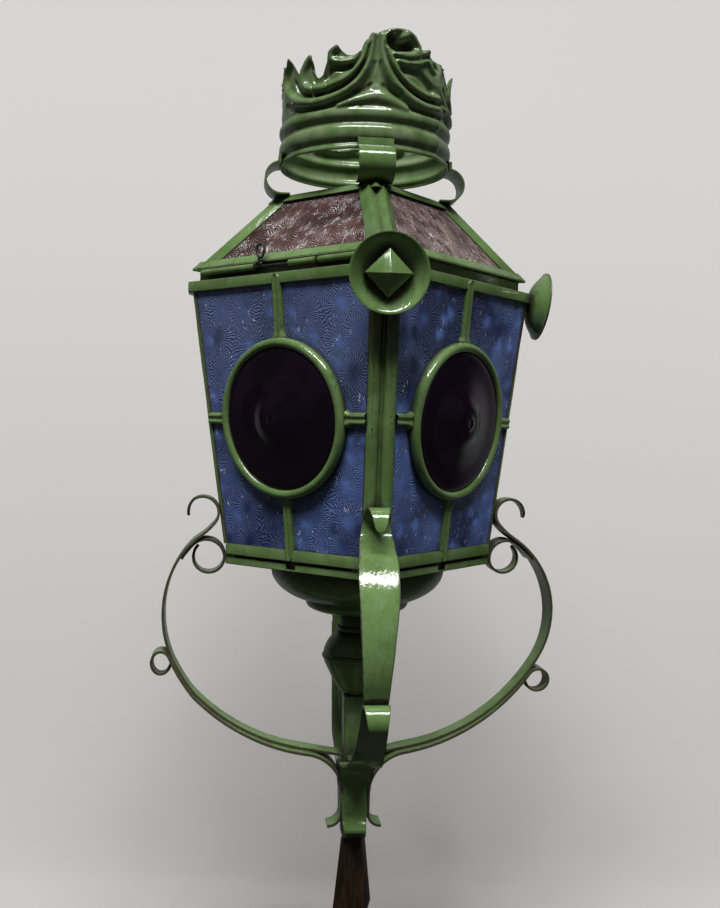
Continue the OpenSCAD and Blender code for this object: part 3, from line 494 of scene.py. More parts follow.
blue_glass, place, pane = new_finish("blue_glass", IOR=1.52)
ridges, fade, tint = starburst(place, BLUE_SPACING)
crest = ridges.step(0.6, 1.0) * fade
depth = place.noise(13, 4)
side = right_side(place)
# Painted reflection: the upper part of the panes, except on the right side, is painted with a pale sheen of the lamps.
painted_reflection = place.along(2).step(0.40, 0.56) * (1 - side)
glint = place.stretch((1, 1, 0.5), (0.6, 0.4, 0)).noise(240, 2).step(0.66, 0.70)
# Dirt and painted shade: darker next to the bars, ring and frame, and in patches.
dirt_and_shade = (0.12 + place.hollow(0.012) + 0.25 * depth).step(0.35, 0.9)
colour = place.mix(depth.step(0.36, 0.64), DEEP_BLUE, MID_BLUE).coat(
    (side, place.mix(depth.step(0.42, 0.60), LIT_DEEP_BLUE, LIT_BLUE)),
    (0.85 * tint.step(0.2, 0.9) * (1 - fade), place.mix(side, SPOT_BLUE, LIT_SPOT_BLUE)),
    (0.75 * (1 - tint).step(0.72, 0.95) * (1 - fade), DARK_SPOT_BLUE),
    (0.5 * (1 - ridges).step(0.45, 1.0) * fade, GROOVE_BLUE),
    (0.5 * crest, RIDGE_BLUE),
    (0.14 * painted_reflection, PAINTED_REFLECTION_BLUE),
    (0.85 * glint * ridges.step(0.4, 0.8), BLUE_GLINT),
    (0.85 * dirt_and_shade, PANE_DIRT_AND_SHADE))
lay_on(pane, colour, 0.12 + 0.15 * depth + 0.2 * dirt_and_shade, ridges * fade + 0.5 * (1 - fade) + 0.6 * depth, 0.0008, 0.45)
(0.92 + 0.06 * depth).feed(pane, "Alpha")
glaze("body_panes_", blue_glass)


# Each bracket is three flat strips of iron, bent cold over a former: the main strip from its upper scroll to the
# socket, the outer strip with its curl and flared foot, and the lower scroll. They are soldered where they meet,
# and their bends differ a little from corner to corner.
STRIP = 2.2
ACROSS = [-1, -0.84, -0.4, 0, 0.4, 0.84, 1]
WIDTH_STEP = 20
TIP = 6
# Radii and turns of the bends
SHOULDER, SWEEP, CURL, SOCKET_BEND, FOOT = 75.5, 162, 9.5, 34, 11
SHOULDER_TURN, LAP_TURN, SWEEP_TURN, CURL_TURN, FOOT_TURN = -71, -14, -46.5, 325, 92
SOCKET_HALF = 10
FOOT_TOP = 142
MAIN_START, MAIN_HEADING = (140.881, 388.289), 76.5
MAIN_WIDTHS = [8, 15.5, 20.5, 25.5, 28.5, 28.5, 26.5, 23.5, 20.5, 18, 17, 16.5, 16, 15.5, 15]
OUTER_WIDTHS = [6.5, 11.5, 18, 20, 21, 22.5, 24, 26, 28.5, 30.5, 31, 29, 26, 21, 17.5, 16, 15]
LOWER_WIDTHS = [27, 24.5, 21.5, 17.5, 13, 9]
# For each corner, in mm and degrees: how much later the outer strip leaves, how far the belly is drawn in, its turn
BENT = {"front_right": (0, 6, -1.6), "back_right": (12, 0, 0), "back_left": (0, 6, -1.6), "front_left": (-7, 9, 0)}
BELLY_FROM, BELLY_TO = 135, 182
TURN_FROM, TURN_TO = 392, 302


def verts_of(geometry):
    return [part for part in geometry if isinstance(part, bmesh.types.BMVert)]


def bent_strip(start, heading, bends, widths, tip_first, seed):
    """A strip in the upright plane of a corner. A bend is (radius, degrees), and a straight (length, None). The
    widths are even steps apart, and the last one goes on to the end. One end is cut to a round tip."""
    strip = bmesh.new()
    edge = strip.verts.layers.float.new("edge")
    row = [strip.verts.new((start[0] * MM, share * MM, start[1] * MM)) for share in ACROSS]
    joins = [strip.edges.new(pair) for pair in zip(row, row[1:])]
    rows, runs = [row], [0.0]
    for size, turn in bends:
        steps = 1 if turn is None else max(2, ceil(abs(turn) / 3))
        for _ in range(steps):
            here = rows[-1][0].co
            if turn is None:
                out = bmesh.ops.extrude_edge_only(strip, edges=joins)["geom"]
                bmesh.ops.translate(strip, verts=verts_of(out),
                                    vec=Vector((cos(radians(heading)), 0, sin(radians(heading)))) * size * MM)
                runs.append(runs[-1] + size)
            else:
                side = size if turn > 0 else -size
                centre = (here.x - side * MM * sin(radians(heading)), 0, here.z + side * MM * cos(radians(heading)))
                out = bmesh.ops.spin(strip, geom=joins, cent=centre, axis=(0, -1, 0),
                                     angle=radians(turn / steps), steps=1)["geom_last"]
                heading += turn / steps
                runs.append(runs[-1] + size * radians(abs(turn / steps)))
            row = sorted(verts_of(out), key=lambda vert: vert.co.y)
            joins = [strip.edges.get(pair) for pair in zip(row, row[1:])]
            rows.append(row)
    for row, run in zip(rows, runs):
        half = smooth_share(widths, min(run / WIDTH_STEP / (len(widths) - 1), 1)) / 2
        from_tip = run if tip_first else runs[-1] - run
        half *= sqrt(max(0.06, 1 - max(0, 1 - from_tip / TIP) ** 2))
        for share, vert in zip(ACROSS, row):
            uneven = 0.35 * noise.noise(Vector((run * 0.05, share * 3, seed)))
            vert.co.y = (share * half + uneven) * MM
            vert[edge] = float(abs(share) == 1)
    bmesh.ops.recalc_face_normals(strip, faces=strip.faces)
    return strip


def place_after(start, heading, bends):
    """Where a run of bends ends: distance from the axis, height and heading."""
    x, z = start
    for size, turn in bends:
        if turn is None:
            x, z = x + size * cos(radians(heading)), z + size * sin(radians(heading))
        else:
            side = size if turn > 0 else -size
            x += side * (sin(radians(heading + turn)) - sin(radians(heading)))
            z -= side * (cos(radians(heading + turn)) - cos(radians(heading)))
            heading += turn
    return (x, z), heading


def beside(start, heading, distance):
    """A place that far to the left of a heading."""
    return (start[0] - distance * sin(radians(heading)), start[1] + distance * cos(radians(heading)))


def outer_line(later):
    """Start, heading and bends of an outer strip that leaves the main one some way after the shoulder, or before."""
    early, late = degrees(max(0, -later) / SHOULDER), degrees(max(0, later) / SWEEP)
    leaving, heading = place_after(MAIN_START, MAIN_HEADING, upper_bends + shoulder_bends[:2] + [
        (SHOULDER, early + SHOULDER_TURN), (SWEEP, -late)])
    outer_start = beside(leaving, heading, STRIP)
    curl_tip, curl_heading = place_after(outer_start, heading + 180, [(CURL, -CURL_TURN)])
    sweep_bends = [(SHOULDER + STRIP, -early), (SWEEP + STRIP, late + SWEEP_TURN)]
    outer_sweep, outer_heading = place_after(outer_start, heading, sweep_bends)
    bend_reach = SOCKET_HALF + STRIP / 2 + SOCKET_BEND * (1 + sin(radians(outer_heading)))
    to_bend = (bend_reach - outer_sweep[0]) / cos(radians(outer_heading))
    to_socket = [(to_bend, None), (SOCKET_BEND, 270 - outer_heading)]
    bend_end, _ = place_after(outer_sweep, outer_heading, to_socket)
    foot_bends = [(bend_end[1] - FOOT_TOP, None), (FOOT, FOOT_TURN)]
    bends = [(CURL, CURL_TURN)] + [bend for bend in sweep_bends if bend[1]] + to_socket + foot_bends
    return curl_tip, curl_heading + 180, bends


def bend_by_hand(strip, drawn_in, turned):
    """Draws a strip's belly in towards the stem and turns it about the stem, more so the lower it is."""
    for vert in strip.verts:
        belly = max(0, min(1, (vert.co.x / MM - BELLY_FROM) / (BELLY_TO - BELLY_FROM)))
        low = max(0, min(1, (TURN_FROM - vert.co.z / MM) / (TURN_FROM - TURN_TO)))
        vert.co.x -= drawn_in * belly * MM
        vert.co = Matrix.Rotation(radians(turned * (0.3 + 0.7 * low)), 3, "Z") @ vert.co


upper_bends = [(12.9, 232.5), (56, 17.5)]
shoulder_bends = [(SHOULDER, -4.5), (SHOULDER, LAP_TURN), (SHOULDER, SHOULDER_TURN)]
main_bends = upper_bends + shoulder_bends + [(SWEEP, SWEEP_TURN)]
sweep_end, end_heading = place_after(MAIN_START, MAIN_HEADING, main_bends)
main_bends.append(((SOCKET_HALF - sweep_end[0]) / cos(radians(end_heading)), None))
lap, lap_heading = place_after(MAIN_START, MAIN_HEADING, upper_bends + shoulder_bends[:1])
lap_start = beside(lap, lap_heading, -STRIP)
lap_end, lap_end_heading = place_after(lap_start, lap_heading, [(SHOULDER - STRIP, LAP_TURN)])
lower_bends = [(SHOULDER - STRIP, -LAP_TURN), (14.8, 126.5), (12.6, 229)]
for k, corner in enumerate(CORNERS):
    later, drawn_in, turned = BENT[corner]
    for strip_name, start, heading, bends, tip_first, widths in [
            ("main", MAIN_START, MAIN_HEADING, main_bends, True, MAIN_WIDTHS),
            ("scroll", lap_end, lap_end_heading + 180, lower_bends, False, LOWER_WIDTHS),
            ("outer", *outer_line(later), True, OUTER_WIDTHS)]:
        strip = bent_strip(start, heading, bends, widths, tip_first, 7 * k + len(bends))
        bend_by_hand(strip, drawn_in, turned)
        strip.transform(corner_place(k))
        made = set_piece(f"strip_{strip_name}_{corner}", strip, green_enamel, "green_enamel", "lantern",
                         f"bracket_{strip_name}_{corner}")
        wall = made.modifiers.new("wall", "SOLIDIFY")
        wall.thickness = STRIP * MM
        wall.offset = 0
        softened = made.modifiers.new("softened", "BEVEL")
        softened.width = 0.55 * MM
        softened.segments = 2
        softened.limit_method = "ANGLE"
        softened.angle_limit = radians(50)


# Rosettes stand on stems before three of the corners: a deep dish of sheet with a square pyramid stud in its
# middle, both beaten over a former, soldered together and painted.
DISH_LINE = [(0, -2.2), (6, -2.2), (11, -1.7), (16, -0.4), (20, 1.8), (23.5, 4.6), (26, 6.8), (27.5, 7.6),
             (28.4, 7.6)]
DISH_SHEET = 1.3
STEM_LINE = [(5, -18), (5, -9), (5.2, -6), (6.4, -4), (9, -2.6)]
STUD_REACH, STUD_POINT = 17, 0.3
STUD_RISE, STUD_FOOT = 10, 6
STUD_MIDDLE = 9.5
ROSETTE_REACH, ROSETTE_HIGH = 146, 569


def pyramid_stud():
    """A four-sided pyramid along Z, on a foot of the same width."""
    stud = bmesh.new()
    stud.verts.layers.float.new("edge")
    bmesh.ops.create_cone(stud, cap_ends=True, segments=4, radius1=STUD_REACH * MM, radius2=STUD_POINT * MM,
                          depth=STUD_RISE * MM, matrix=Matrix.Translation((0, 0, STUD_MIDDLE * MM)))
    foot = [face for face in stud.faces if face.normal.z < -0.9]
    out = bmesh.ops.extrude_face_region(stud, geom=foot)["geom"]
    bmesh.ops.translate(stud, verts=verts_of(out), vec=(0, 0, -STUD_FOOT * MM))
    bmesh.ops.delete(stud, geom=foot, context="FACES_ONLY")
    round_edges(stud, stud.edges[:], 0.5, 2)
    bmesh.ops.recalc_face_normals(stud, faces=stud.faces)
    return stud


studs = []
for k, corner in enumerate(CORNERS[:3]):
    outwards = corner_place(k, ROSETTE_REACH, ROSETTE_HIGH, 90 + POST_LEAN)
    dish = spun(DISH_LINE, 40)
    bmesh.ops.solidify(dish, geom=dish.faces, thickness=DISH_SHEET * MM)
    disc = joined(dish, spun(STEM_LINE, 16))
    disc.transform(outwards)
    set_piece("rosette_disc_" + corner, disc, green_enamel, "green_enamel", "lantern", "rosette_" + corner)
    studs.append(pyramid_stud())
    studs[-1].transform(outwards)
set_piece("pyramid_studs", joined(*studs), green_enamel, "green_enamel", "lantern", "rosette_studs")


# Inside, a tinplate pan with a cup stands on the floor plate and carries a thick beeswax candle with a cotton
# wick. The candle is cast, and lifts out of the cup.
BRIGHT_TIN, DULL_TIN = (0.42, 0.42, 0.40, 1), (0.17, 0.16, 0.14, 1)
YELLOW_WAX, PALE_WAX = (0.78, 0.66, 0.36, 1), (0.88, 0.80, 0.56, 1)
CHARRED_COTTON, RAW_COTTON = (0.06, 0.05, 0.04, 1), (0.45, 0.41, 0.33, 1)

tin_plate, place, tin = new_finish("tin_plate", Metallic=1.0)
tarnish = place.noise(60, 5)
colour = place.mix(tarnish.step(0.35, 0.7), BRIGHT_TIN, DULL_TIN)
lay_on(tin, colour, 0.3 + 0.35 * tarnish, place.noise(300, 3), 0.0003, 0.4)
set_piece("drip_pan", rounded_copy("candle_holder", 0.3), tin_plate, "tin_plate", "lantern", "candle_holder")

beeswax, place, wax = new_finish("beeswax", Subsurface_Weight=0.3, Subsurface_Scale=0.004, Specular_IOR_Level=0.4)
bloom = place.noise(45, 4)
colour = place.mix(bloom.step(0.35, 0.7), YELLOW_WAX, PALE_WAX)
lay_on(wax, colour, 0.35 + 0.25 * bloom, place.noise(90, 3), 0.0006, 0.3)
set_piece("beeswax_candle", rounded_copy("candle", 2.5), beeswax, "beeswax", "candle", "candle")

wick_cotton, place, cotton = new_finish("wick_cotton", Sheen_Weight=0.3)
fibre = place.stretch((900, 900, 250)).noise(1, 3)
colour = place.mix(fibre.step(0.4, 0.6), CHARRED_COTTON, RAW_COTTON)
lay_on(cotton, colour, 0.75 + 0.2 * fibre, fibre, 0.0004, 0.7)
set_piece("candle_wick", rounded_copy("wick", 0.5), wick_cotton, "wick_cotton", "candle", "wick")


# The lid is a hipped frame: eave bars with a lip and a skirt that drops inside the top rail, a square frame round
# the vent, and four fluted hips between them, all folded from sheet and soldered.
paint_nodes(green_enamel, "lid", {"lid_frame": 0.7, "roof_top_frame": 0.8, "roof_hips": 0.8})


# The four roof panes are the same starburst glass in a brownish mauve, cut to the slope and slid in between the
# hips. Light falls through the right one, which looks pink with dark spots.
MAUVE_SPACING = 0.0215
DEEP_MAUVE, MID_MAUVE = (0.040, 0.013, 0.012, 1), (0.135, 0.062, 0.056, 1)
LIT_PINK, LIT_SPOT_MAUVE = (0.335, 0.235, 0.216, 1), (0.045, 0.024, 0.024, 1)
SPOT_MAUVE = (0.120, 0.052, 0.046, 1)
GROOVE_MAUVE, RIDGE_MAUVE = (0.026, 0.009, 0.009, 1), (0.400, 0.345, 0.330, 1)
MAUVE_GLINT = (0.900, 0.870, 0.860, 1)

mauve_glass, place, pane = new_finish("mauve_glass", IOR=1.52)
ridges, fade, tint = starburst(place, MAUVE_SPACING)
crest = ridges.step(0.5, 1.0) * fade
depth = place.noise(24, 3)
side = right_side(place)
shine = place.noise(52, 3, 0.6).step(0.42, 0.64)
glint = place.stretch((1, 1, 0.6), (0.5, 0.3, 0)).noise(260, 2).step(0.56, 0.66)
spots = place.stretch((1, 1, 0.5), (0.7, 0, 0)).noise(125, 3).step(0.53, 0.61)
colour = place.mix(depth.step(0.36, 0.62), DEEP_MAUVE, MID_MAUVE).coat(
    (side * (0.35 + 0.5 * depth.step(0.36, 0.60)), LIT_PINK),
    (0.7 * tint.step(0.25, 0.9) * (1 - fade) * (1 - side), SPOT_MAUVE),
    (0.8 * spots * side, LIT_SPOT_MAUVE),
    (0.65 * (1 - ridges).step(0.5, 1.0) * fade, GROOVE_MAUVE),
    ((0.22 + 0.6 * shine) * crest, RIDGE_MAUVE),
    (0.95 * glint * shine * ridges.step(0.35, 0.8), MAUVE_GLINT))
lay_on(pane, colour, 0.1 + 0.15 * depth, ridges * fade + 0.6 * (1 - fade) + 0.6 * depth, 0.0010, 0.6)
(0.92 + 0.06 * depth).feed(pane, "Alpha")
glaze("roof_pane_", mauve_glass)


# The hinge is a black iron wire through rolled knuckles on the lid and on the top rail. Its ends come back
# together, are twisted round each other and stand up as an eye to lift the lid by.
BLACK_IRON, BROWN_RUST = (0.010, 0.010, 0.011, 1), (0.050, 0.034, 0.024, 1)
WIRE = 1.9
PIN_STOPS = (-85, -27, -20, 9, 35, 38, 72)
PIN_Y, PIN_Z = -100.5, 584.6
EYE_X, EYE_Y = -20, -101.7
TWIST_REACH, TWIST_TURN = 1.05, 540
LEG, LOOP, LOOP_HALF = 7.4, 9.4, 4.1

paint_nodes(green_enamel, "lantern", {"body_knuckle": 0.4})
paint_nodes(green_enamel, "lid", {"lid_knuckles": 0.4})
black_wire, place, iron = new_finish("black_wire")
rust = place.noise(300, 4)
lay_on(iron, place.mix(rust.step(0.5, 0.75), BLACK_IRON, BROWN_RUST), 0.35 + 0.4 * rust, rust, 0.0003, 0.5)


def twisted_leg(share, turn):
    """A place on a leg of the eye, at a share of its height."""
    return Vector((EYE_X + TWIST_REACH * cos(radians(turn)), EYE_Y + TWIST_REACH * sin(radians(turn)),
                   PIN_Z + LEG * share))


def wire_eye(leg_steps=30, loop_steps=40):
    """The middle line of the eye: up one twisted leg, round the loop and down the other leg."""
    shares = [i / leg_steps for i in range(leg_steps + 1)]
    up = [twisted_leg(share, TWIST_TURN * share) for share in shares]
    down = [twisted_leg(share, TWIST_TURN * share + 180) for share in reversed(shares)]
    loop = []
    for i in range(1, loop_steps):
        turn = radians(360 * i / loop_steps)
        rise = (1 - cos(turn)) / 2
        wide = LOOP_HALF * (0.5 + 0.5 * rise)
        loop.append(Vector((EYE_X - TWIST_REACH * cos(turn / 2) - wide * sin(turn), EYE_Y - 0.4 * cos(turn / 2),
                            PIN_Z + LEG + LOOP * rise)))
    return up + loop + down


def drawn_wire(name, thick, *lines):
    """Round wire along lines of places, as a shape."""
    curve = bpy.data.curves.new(name, "CURVE")
    curve.dimensions = "3D"
    curve.bevel_depth = thick / 2 * MM
    curve.bevel_resolution = 4
    curve.use_fill_caps = True
    for line in lines:
        run = curve.splines.new("POLY")
        run.points.add(len(line) - 1)
        for point, co in zip(run.points, line):
            point.co = (*(co * MM), 1)
    holder = bpy.data.objects.new(name, curve)
    mesh = bpy.data.meshes.new_from_object(holder)
    wire = bmesh.new()
    wire.verts.layers.float.new("edge")
    wire.from_mesh(mesh)
    bpy.data.objects.remove(holder)
    bpy.data.curves.remove(curve)
    bpy.data.meshes.remove(mesh)
    return wire


pin = [Vector((x, PIN_Y, PIN_Z)) for x in PIN_STOPS]
set_piece("wire_with_eye", drawn_wire("wire", WIRE, pin, wire_eye()), black_wire, "black_wire", "lid", "hinge_wire")


# The crown is one strip of sheet, beaded along its lower part and chased above with acanthus leaves that part from
# a stem and end in a curl. The motif comes three times. The sheet is cut to a crest, bent round and lapped at a seam.
CROWN_FOOT = 675.2
CROWN_REACH = 68.5
CROWN_SHEET = 1.1
BAND = 31.8
MOTIF_TURN = 120
STEM_TURN = 42
# One motif's upper edge, as (angle from the stem, height over the band)
CREST = [
    (-60, 41), (-57.5, 36.5), (-54.4, 32.6), (-51.9, 31), (-50.2, 35.2), (-47.3, 39.7), (-41.2, 42.8), (-40.4, 36),
    (-39.2, 28), (-37.2, 24.8), (-35, 24.4), (-32.7, 26.2), (-30.6, 30.4), (-29.5, 36.4), (-28.7, 41.6), (-26, 44.8),
    (-22.2, 46.9), (-20.8, 44.6), (-18.4, 41.2), (-15.1, 39), (-11, 39.4), (-7.9, 40.4), (-6.8, 44), (-5.2, 48.4),
    (-3, 50.4), (-1.9, 53.6), (-0.6, 55.2), (2.5, 55.9), (5.8, 57.4), (8.2, 58.9), (14.1, 60.1), (17.6, 60.4),
    (22.2, 60.4), (25.4, 59.8), (28, 57.6), (31.1, 54.6), (33.3, 51.6), (34.4, 49.2), (37, 49.2), (39.6, 50),
    (41.6, 48), (43.3, 44.6), (47.2, 43.8), (51.3, 42.4), (53.6, 39), (55.4, 41), (57.3, 46.4), (58.6, 44.2), (60, 41)]
CREST_STEPS = 480
crest_points = [place_on(CREST, i / CREST_STEPS) for i in range(CREST_STEPS + 1)]
# Lines of the chasing, given in the same way, each with its half width at its start and further on, and its height
CHASING = [
    ([(0.1, 54), (-2, 36), (-6.7, 23.2), (-15.5, 13.2), (-26.6, 8), (-40, 6.6), (-54.4, 10.5), (-66.5, 20), (-71, 31),
      (-67.2, 39.6), (-63, 45)], 2.6, 5.2, 3.6),
    ([(-3, 49), (-6.1, 35.8), (-13.2, 25), (-21.5, 19.5), (-31.2, 16.4), (-42.3, 17), (-49, 22.7), (-49, 31),
      (-46, 37), (-42.2, 41)], 2.4, 4, 3.2),
    ([(-7.7, 40), (-11, 36), (-16, 34.4), (-23.4, 35), (-27, 38.5), (-26.4, 42.6), (-22.8, 45.6)], 2.4, 3.4, 3),
    ([(5.8, 55), (6.9, 40.4), (10.4, 27.2), (16.6, 17.4), (25.9, 10), (38.8, 6.4), (51.3, 7.6), (62, 10)],
     2.6, 5.2, 3.6),
    ([(9.3, 45), (12.8, 35.3), (19.1, 25.4), (27.7, 18.4), (38.7, 15), (52, 15.6)], 2.4, 4, 3.2),
    ([(6.9, 49), (8.4, 55), (13, 58.6), (19.4, 59.4), (26, 57.6), (30, 53), (32.4, 48.4), (27.3, 45), (18, 42.6)],
     2.4, 2.6, 3.2),
    ([(13.6, 41.3), (21.6, 40.6), (29.3, 42.6), (36.1, 46.4), (39.8, 48.6)], 2.4, 2.8, 3.2),
    ([(16.3, 36.3), (25.5, 36), (33.6, 38.4), (40, 41.6), (44.6, 36), (50, 31.9)], 2.2, 2.6, 2.8),
    ([(42.6, 42.6), (47.3, 40), (50, 34), (53, 29)], 2.2, 2.6, 2.6),
    ([(-21, 1.6), (-8, 5.6), (3, 8), (13, 5.6), (22, 2)], 3.6, 6, 3),
    ([(3, 14), (3, 7)], 4, 7, 1.2),
    ([(23, 57), (20.6, 55.4)], 4.8, 4.8, 4.6)]
HOLLOWS = [
    ([(-1.6, 47), (-4.1, 35.8), (-10.2, 23.4), (-18.5, 15.9), (-28.9, 11.9), (-41, 11.6), (-52.6, 17), (-58, 27)],
     1.5, 2, 2.2),
    ([(1.6, 34), (-3, 19.6), (-12, 9.2), (-24, 3.4), (-39, 1.4), (-56, 4.6), (-70, 12)], 1.4, 2.6, 1.8),
    ([(8, 44), (9.9, 37), (14.7, 27), (22, 18.6), (31, 13), (41, 10.6), (54, 11.4)], 1.5, 2, 2.2),
    ([(5, 34), (8, 20.6), (13.6, 11.6), (24, 4), (38.8, 1.2), (56, 2.4)], 1.4, 2.6, 1.8),
    ([(-13, 31), (-18.5, 29.8), (-25.6, 30.2), (-30, 24)], 2, 3, 3),
    ([(21, 31), (31, 30.6), (37.4, 26), (44, 21.4)], 4, 4.8, 3.2),
    ([(-11.6, 11.2), (-5.4, 13.8), (-1.4, 17)], 2.2, 2.2, 2.6),
    ([(18.6, 11.4), (12.4, 13.8), (7.6, 17)], 2.2, 2.2, 2.6),
    ([(12, 53.6), (13.4, 49.6), (18, 47.4), (25, 48.8)], 4.4, 4.4, 6)]
LINE_STEPS = 20
# Beads and grooves round the band, as (height over the foot, half width, relief)
BEADS = [(1.6, 2.6, 1.3), (12.8, 6.8, 2.4), (27.6, 5.0, 2.2)]
BEAD_GROOVES = [(5.4, 1.8, 0.8), (20.8, 2.6, 0.9)]
# Columns of the grid for each of the three motifs, its rows, and the share of them on the band
COLUMNS = 168
ROWS = 96
BAND_SHARE = 0.34
SEAM_TURN, LAP_RUN, LAP = 52, 14, 1.1
# Round the sheet, the last motif dies away between these angles
WHOLE_TO, GONE_AT = 252, 268
EDGE_RUN, EDGE_FLARE = 3.5, 0.7
# Where the crest was trimmed to fit, beside the seam and opposite it: (angle, height left)
TRIMMED = [(-60, 61), (52, 61), (52.5, 40.5), (68.5, 40.5), (69, 61), (250, 61), (264, 30), (271, 25), (279, 28),
           (284, 32.5), (290.5, 39.5), (298, 47), (300, 61)]


def on_sheet(point):
    """Where an angle and a height lie on the flat sheet, in mm."""
    return Vector((CROWN_REACH * radians(point[0]), point[1]))


def drawn(lines):
    """Each line of the chasing as a smooth run of places on the flat sheet."""
    return [([on_sheet(place_on(line, i / LINE_STEPS)) for i in range(LINE_STEPS + 1)], thin, half, high)
            for line, thin, half, high in lines]


def swell(lines, here):
    """The height of the rounded ridges over a place on the sheet, run together where they meet. A ridge starts
    thin and has its full width from the middle of its line on."""
    total = 0.0
    for line, thin, half, high in lines:
        if min(abs(here.x - p.x) + abs(here.y - p.y) for p in line) < 2 * half + 6:
            best = 1.0
            for i, (a, b) in enumerate(zip(line, line[1:])):
                run = b - a
                share = max(0.0, min(1.0, (here - a).dot(run) / max(run.dot(run), 1e-9)))
                width = thin + (half - thin) * min(1.0, (i + share) / (LINE_STEPS / 2))
                best = min(best, (here - a - run * share).length / width)
            total += (high * (1 - best ** 2) ** 1.2) ** 3
    return total ** (1 / 3)


raised, sunk = drawn(CHASING), drawn(HOLLOWS)


def crest_height(turn):
    """The height of the crest over the band, for an angle from the stem."""
    for a, b in zip(crest_points, crest_points[1:]):
        if a[0] <= turn <= b[0]:
            return a[1] + (b[1] - a[1]) * (turn - a[0]) / max(b[0] - a[0], 1e-9)
    return crest_points[-1][1]


def motif_relief(turn, high, whole):
    """How far the sheet is driven out, for an angle from the stem and a height over the foot. Where the motif dies
    away, from whole at 1 to gone at 0, only the next one reaches in."""
    over = high - BAND
    beads = max([h * (1 - ((high - z) / w) ** 2) ** 0.8 for z, w, h in BEADS if abs(high - z) < w] or [0])
    grooves = max([h * (1 - ((high - z) / w) ** 2) for z, w, h in BEAD_GROOVES if abs(high - z) < w] or [0])
    if over < -6:
        return beads - grooves
    here = on_sheet((turn, over))
    places = [on_sheet((turn + side * MOTIF_TURN, over)) for side in (-1, 1) if side * turn < -25]
    out = max([whole * swell(raised, here)] + [swell(raised, place) for place in places])
    inward = max([whole * swell(sunk, here)] + [swell(sunk, place) for place in places])
    return max(beads, out) - max(grooves, inward)


def crown_sheet():
    """The sheet of the crown, bent round, without its thickness."""
    sheet = bmesh.new()
    edge = sheet.verts.layers.float.new("edge")
    bmesh.ops.create_grid(sheet, x_segments=3 * COLUMNS, y_segments=ROWS, size=1)
    table = {}
    for vert in sheet.verts:
        column = round((vert.co.x + 1) / 2 * 3 * COLUMNS) % (3 * COLUMNS)
        turn = column % COLUMNS * MOTIF_TURN / COLUMNS - MOTIF_TURN / 2
        row = (vert.co.y + 1) / 2
        round_turn = column * MOTIF_TURN / COLUMNS - MOTIF_TURN / 2
        whole = max(0.0, min(1.0, (GONE_AT - round_turn) / (GONE_AT - WHOLE_TO)))
        rise = crest_height(turn)
        for (a, before), (b, after) in zip(TRIMMED, TRIMMED[1:]):
            if a <= round_turn <= b:
                rise = min(rise, before + (after - before) * (round_turn - a) / (b - a))
        over = (row - BAND_SHARE) / (1 - BAND_SHARE)
        high = BAND * row / BAND_SHARE if over < 0 else BAND + rise * over
        key = (column % COLUMNS, round(row * ROWS), rise, whole)
        if key not in table:
            table[key] = motif_relief(turn, high, whole)
        from_seam = SEAM_TURN - round_turn
        lap = LAP * max(0.0, 1 - from_seam / LAP_RUN) if 0 <= from_seam < LAP_RUN else 0.0
        dent = 0.5 * noise.noise(Vector((cos(radians(round_turn)) * 2.2, sin(radians(round_turn)) * 2.2, high * 0.04)))
        top = max(0.0, 1 - (BAND + rise - high) / EDGE_RUN) if over > 0 else 0.0
        reach = CROWN_REACH + table[key] + lap + dent + EDGE_FLARE * top * top
        angle = radians(round_turn + STEM_TURN - 90)
        vert.co = Vector((reach * cos(angle), reach * sin(angle), CROWN_FOOT + high)) * MM
        vert[edge] = top ** 3
    bmesh.ops.remove_doubles(sheet, verts=sheet.verts, dist=1e-5)
    inside = [vert for vert in sheet.verts if not vert.is_boundary]
    for _ in range(3):
        bmesh.ops.smooth_vert(sheet, verts=inside, factor=0.5, use_axis_x=True, use_axis_y=True, use_axis_z=True)
    bmesh.ops.recalc_face_normals(sheet, faces=sheet.faces)
    return sheet


dusty_enamel = enamel_finish("dusty_enamel", 0.02, 0.6)
made = set_piece("chased_crown", crown_sheet(), dusty_enamel, "green_enamel", "lid", "crown")
wall = made.modifiers.new("wall", "SOLIDIFY")
wall.thickness = CROWN_SHEET * MM
wall.offset = -1


# Four looped straps of the same sheet carry the crown: each is soldered to the band by a tab, bulges outwards and
# stands with its foot on a corner of the vent frame.
set_piece("looped_straps", rounded_copy("crown_straps", 0.6), green_enamel, "green_enamel", "lid", "crown_straps")


# A pale sweep of painted board stands behind and under the lantern. Seen from behind it is left open, and it stops
# no lamp, so that the lantern shows from every side. It throws little light back on the lantern.
BOARD_HALF = 6
WALL_BACK = 0.29
WALL_HIGH = 4
COVE = 0.12
VIEW_TURN = 37.94
LAMP_TURN, LAMP_UP = radians(36), radians(61)
LAMP_SIDE = (sin(LAMP_TURN) * cos(LAMP_UP), -cos(LAMP_TURN) * cos(LAMP_UP), sin(LAMP_UP))
DARK_BOARD, MIRRORED_BOARD = (0.03, 0.029, 0.028, 1), (0.30, 0.30, 0.30, 1)
NO_GLOW, BOARD_GLOW = (0, 0, 0, 1), (0.118, 0.104, 0.096, 1)


def edges_of(geometry):
    return [part for part in geometry if isinstance(part, bmesh.types.BMEdge)]


